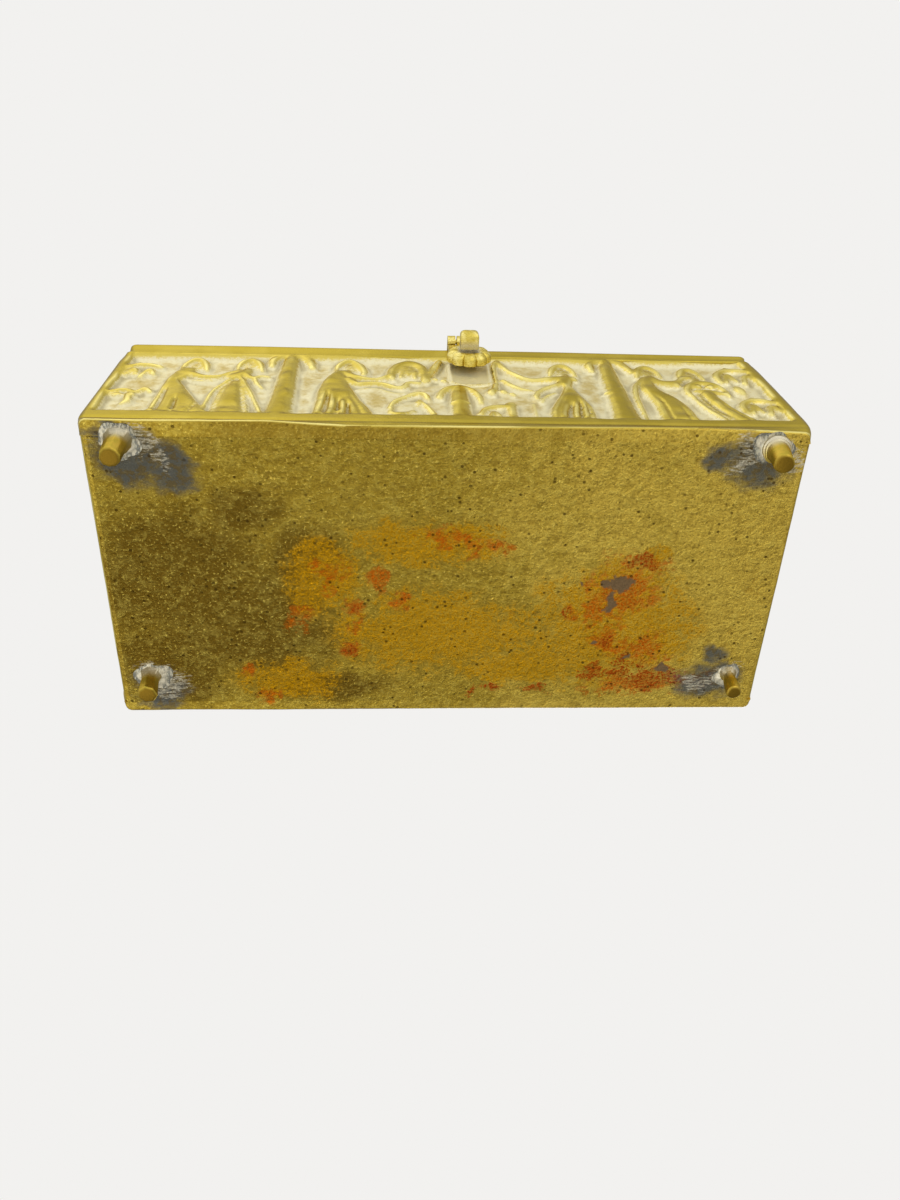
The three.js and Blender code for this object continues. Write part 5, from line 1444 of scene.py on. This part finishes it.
class CASKET_OT_hasp(bpy.types.Operator):
    """Hasp: hinged plate with a scalloped rosette, and the lug soldered on it"""
    bl_idname = "casket.hasp"
    bl_label = "Hasp"

    def execute(self, context):
        colours = context.scene.casket_colours
        material = fitting_brass(colours)
        low, high = span("hasp_plate")
        lug_low, lug_high = span("hasp_lug")
        x = (low[0] + high[0]) / 2
        level = (lug_low[2] + lug_high[2]) / 2
        knuckle_low, knuckle_high = span("hasp_pin")
        pin_z = (knuckle_low[2] + knuckle_high[2]) / 2
        pin_y = (knuckle_low[1] + knuckle_high[1]) / 2
        face = lug_high[1] + 0.3
        near = FRONT_LOW[1] - 0.3
        thick = near - face
        radius = (high[0] - low[0]) / 2
        rings = [(radius * 0.93, 0.0), (radius, 0.35), (radius, thick * 0.55), (radius * 0.95, thick * 0.72),
                 (radius * 0.8, thick * 0.92), (radius * 0.66, thick * 0.99), (radius * 0.5, thick * 0.93),
                 (radius * 0.3, thick * 0.9)]
        disc = turned("hasp_rosette", 200, rings)
        points = points_of(disc)
        away = np.hypot(points[:, 0], points[:, 1])
        turn = np.arctan2(points[:, 0], -points[:, 1])
        petals = 9
        phase = np.abs(np.sin(turn * petals / 2 + math.pi / 2))
        notch = (1 - phase ** 0.55) * np.clip((away / radius - 0.45) / 0.5, 0, 1)
        points[:, :2] *= (1 - 0.16 * notch)[:, None]
        points[:, 2] -= 0.5 * notch * np.clip((points[:, 2] - thick * 0.5) / (thick * 0.5), 0, 1)
        place = np.column_stack([points[:, 0] + x, near - points[:, 2], points[:, 1] + level])
        set_points(disc, place)
        leaf_low, leaf_high = span("hasp_leaf")
        half = (leaf_high[0] - leaf_low[0]) / 2
        hang = (leaf_high[0] + leaf_low[0]) / 2
        strap_thick, neck_half, knuckle_radius, bore_radius, past_ends = 1.8, 1.7, 2.0, 1.1, 9
        strap = block("strap", (hang - half, near - strap_thick, level), (hang + half, near, pin_z - 2.3))
        beveled(strap, 0.3 / MM)
        neck = block("neck", (hang - neck_half, near - strap_thick, pin_z - 3.3),
                     (hang + neck_half, near, pin_z))
        knuckle = round_bar("knuckle", knuckle_radius, hang - neck_half, hang + neck_half, pin_y, pin_z)
        bore = round_bar("bore", bore_radius, hang - past_ends, hang + past_ends, pin_y, pin_z)
        united(disc, [strap, neck, knuckle])
        united(disc, [bore], "DIFFERENCE")
        points = points_of(disc)
        beside = np.maximum(np.abs(points[:, 0] - x) / 4.6, np.abs(points[:, 2] - level) / 4.4)
        paint(disc, "tin", np.clip(1.6 - beside * 1.5, 0, 1) * (points[:, 1] < face + 1.0))
        finish(disc, material, ["hasp_plate"], "hasp", 35)
        lug = block("hasp_catch", lug_low, lug_high)
        bpy.ops.object.mode_set(mode="EDIT")
        bpy.ops.mesh.select_all(action="DESELECT")
        bpy.ops.object.mode_set(mode="OBJECT")
        for edge in lug.data.edges:
            ends = [lug.data.vertices[i].co * MM for i in edge.vertices]
            in_front = all(abs(end.y - lug_low[1]) < 0.01 for end in ends)
            edge.select = in_front and abs(ends[0].x - ends[1].x) < 0.01
        bpy.ops.object.mode_set(mode="EDIT")
        bpy.ops.mesh.select_mode(type="EDGE")
        bpy.ops.mesh.bevel(offset=1.7 / MM, segments=6)
        bpy.ops.object.mode_set(mode="OBJECT")
        points = points_of(lug)
        tip = np.clip((lug_low[1] + 2.6 - points[:, 1]) / 2.6, 0, 1)
        points[:, 2] = level + (points[:, 2] - level) * (1 - 0.28 * tip ** 2)
        set_points(lug, points)
        beveled(lug, 0.45 / MM, 3)
        points = points_of(lug)
        paint(lug, "tin", np.clip((points[:, 1] - lug_high[1] + 1.6) / 1.2, 0, 1))
        finish(lug, material, ["hasp_lug"], "hasp", 40)
        return {"FINISHED"}


class CASKET_OT_fittings(bpy.types.Operator):
    """Gives the hinges, pins and studs their finish"""
    bl_idname = "casket.fittings"
    bl_label = "Fittings"

    def execute(self, context):
        material = fitting_brass(context.scene.casket_colours)
        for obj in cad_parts.values():
            if not obj.hide_render:
                obj.data.materials.clear()
                obj.data.materials.append(material)
        return {"FINISHED"}


class CASKET_OT_stage(bpy.types.Operator):
    """Pale floor, soft lamps and the camera that looks up at the underside"""
    bl_idname = "casket.stage"
    bl_label = "Stage"

    def execute(self, context):
        self.floor()
        self.lamps()
        self.surroundings(context.scene)
        self.camera(context.scene)
        context.scene.view_settings.view_transform = "Standard"
        return {"FINISHED"}

    def floor(self):
        deselect()
        bpy.ops.mesh.primitive_plane_add(size=6, location=(0, 0, 0))
        floor = bpy.context.object
        floor.name = "floor"
        material, tree = new_material("pale_floor")
        behind = add_node(tree, "ShaderNodeNewGeometry").outputs["Backfacing"]
        paper = add_node(tree, "ShaderNodeBsdfDiffuse", {"Color": paint_of(linear("#E4E2DE"))})
        clear = add_node(tree, "ShaderNodeBsdfTransparent")
        either = add_node(tree, "ShaderNodeMixShader", {0: behind, 1: paper.outputs[0], 2: clear.outputs[0]})
        add_node(tree, "ShaderNodeOutputMaterial", {"Surface": either.outputs[0]})
        floor.data.materials.append(material)
        floor.visible_shadow = False
        floor.visible_glossy = False
        floor.visible_diffuse = False

    def lamps(self):
        aim = np.array([0, 0, 0.045])
        for name, place, size, power in (
            ("key", (-0.3, -0.5, 0.75), 0.6, 0.5),
            ("fill", (0.5, -0.7, -0.3), 0.8, 1.0),
            ("under", (-0.4, 0.3, -0.7), 0.8, 2.0),
            ("back", (0.3, 0.75, 0.6), 0.6, 3.0),
        ):
            lamp = bpy.data.lights.new(name, "AREA")
            lamp.size = size
            lamp.energy = power
            obj = bpy.data.objects.new(name, lamp)
            bpy.context.scene.collection.objects.link(obj)
            away = np.array(place) - aim
            obj.location = place
            flat = math.hypot(away[0], away[1])
            obj.rotation_euler = (math.atan2(flat, away[2]), 0, math.atan2(away[1], away[0]) + math.pi / 2)

    def surroundings(self, scene):
        world = bpy.data.worlds.new("studio")
        world.use_nodes = True
        tree = world.node_tree
        tree.nodes.clear()
        rays = add_node(tree, "ShaderNodeLightPath").outputs
        mirrored = worked(tree, "MAXIMUM", rays["Is Glossy Ray"], rays["Is Transmission Ray"])
        where = add_node(tree, "ShaderNodeTexCoord").outputs["Generated"]
        bright_side = {0: where, 1: (-0.25, -0.85, -0.35)}
        toward = add_node(tree, "ShaderNodeVectorMath", bright_side, operation="DOT_PRODUCT")
        room = between(tree, toward.outputs["Value"], -0.8, 0.8, 0.46, 1.12)
        level = add_node(tree, "ShaderNodeMix", {0: mirrored, 2: 0.62, 3: room}).outputs[0]
        level = add_node(tree, "ShaderNodeMix", {0: rays["Is Camera Ray"], 2: level, 3: 0.92}).outputs[0]
        inputs = {"Color": paint_of(linear("#FBFAF8")), "Strength": level}
        light = add_node(tree, "ShaderNodeBackground", inputs)
        add_node(tree, "ShaderNodeOutputWorld", {"Surface": light.outputs[0]})
        scene.world = world

    def camera(self, scene):
        """The camera looks up at the underside from in front of the box"""
        place = (-17.8, FRONT_LOW[1] - 103.8, -253.7)
        tilt, roll, turn = 148.6, 2.9, -1.9
        data = bpy.data.cameras.new("camera")
        data.lens = 30
        data.sensor_width = 36
        data.clip_start = 0.01
        camera = bpy.data.objects.new("camera", data)
        scene.collection.objects.link(camera)
        camera.location = [value / MM for value in place]
        camera.rotation_euler = [math.radians(angle) for angle in (tilt, roll, turn)]
        scene.camera = camera


class CASKET_PT_pieces(bpy.types.Panel):
    """Sidebar panel with the casket's pieces"""
    bl_idname = "CASKET_PT_pieces"
    bl_label = "Casket"
    bl_space_type = "VIEW_3D"
    bl_region_type = "UI"
    bl_category = "Casket"

    def draw(self, context):
        for operator in OPERATORS:
            self.layout.operator(operator.bl_idname)
        for group in (context.scene.casket_sizes, context.scene.casket_colours):
            for name in group.__annotations__:
                self.layout.prop(group, name)


OPERATORS = (
    CASKET_OT_front_wall, CASKET_OT_rear_wall, CASKET_OT_end_walls, CASKET_OT_bottom_plate,
    CASKET_OT_lid, CASKET_OT_lock_plate, CASKET_OT_feet, CASKET_OT_solder, CASKET_OT_hasp,
    CASKET_OT_fittings, CASKET_OT_stage,
)
CLASSES = (CasketSizes, CasketColours, *OPERATORS, CASKET_PT_pieces)


def register():
    for made in CLASSES:
        bpy.utils.register_class(made)
    bpy.types.Scene.casket_sizes = bpy.props.PointerProperty(type=CasketSizes)
    bpy.types.Scene.casket_colours = bpy.props.PointerProperty(type=CasketColours)


def unregister():
    del bpy.types.Scene.casket_sizes
    del bpy.types.Scene.casket_colours
    for made in reversed(CLASSES):
        bpy.utils.unregister_class(made)


def main():
    register()
    bpy.ops.casket.front_wall()
    bpy.ops.casket.rear_wall()
    bpy.ops.casket.end_walls()
    bpy.ops.casket.bottom_plate()
    bpy.ops.casket.lid()
    bpy.ops.casket.lock_plate()
    bpy.ops.casket.feet()
    bpy.ops.casket.solder()
    bpy.ops.casket.hasp()
    bpy.ops.casket.fittings()
    bpy.ops.casket.stage()


if __name__ == "__main__":
    main()
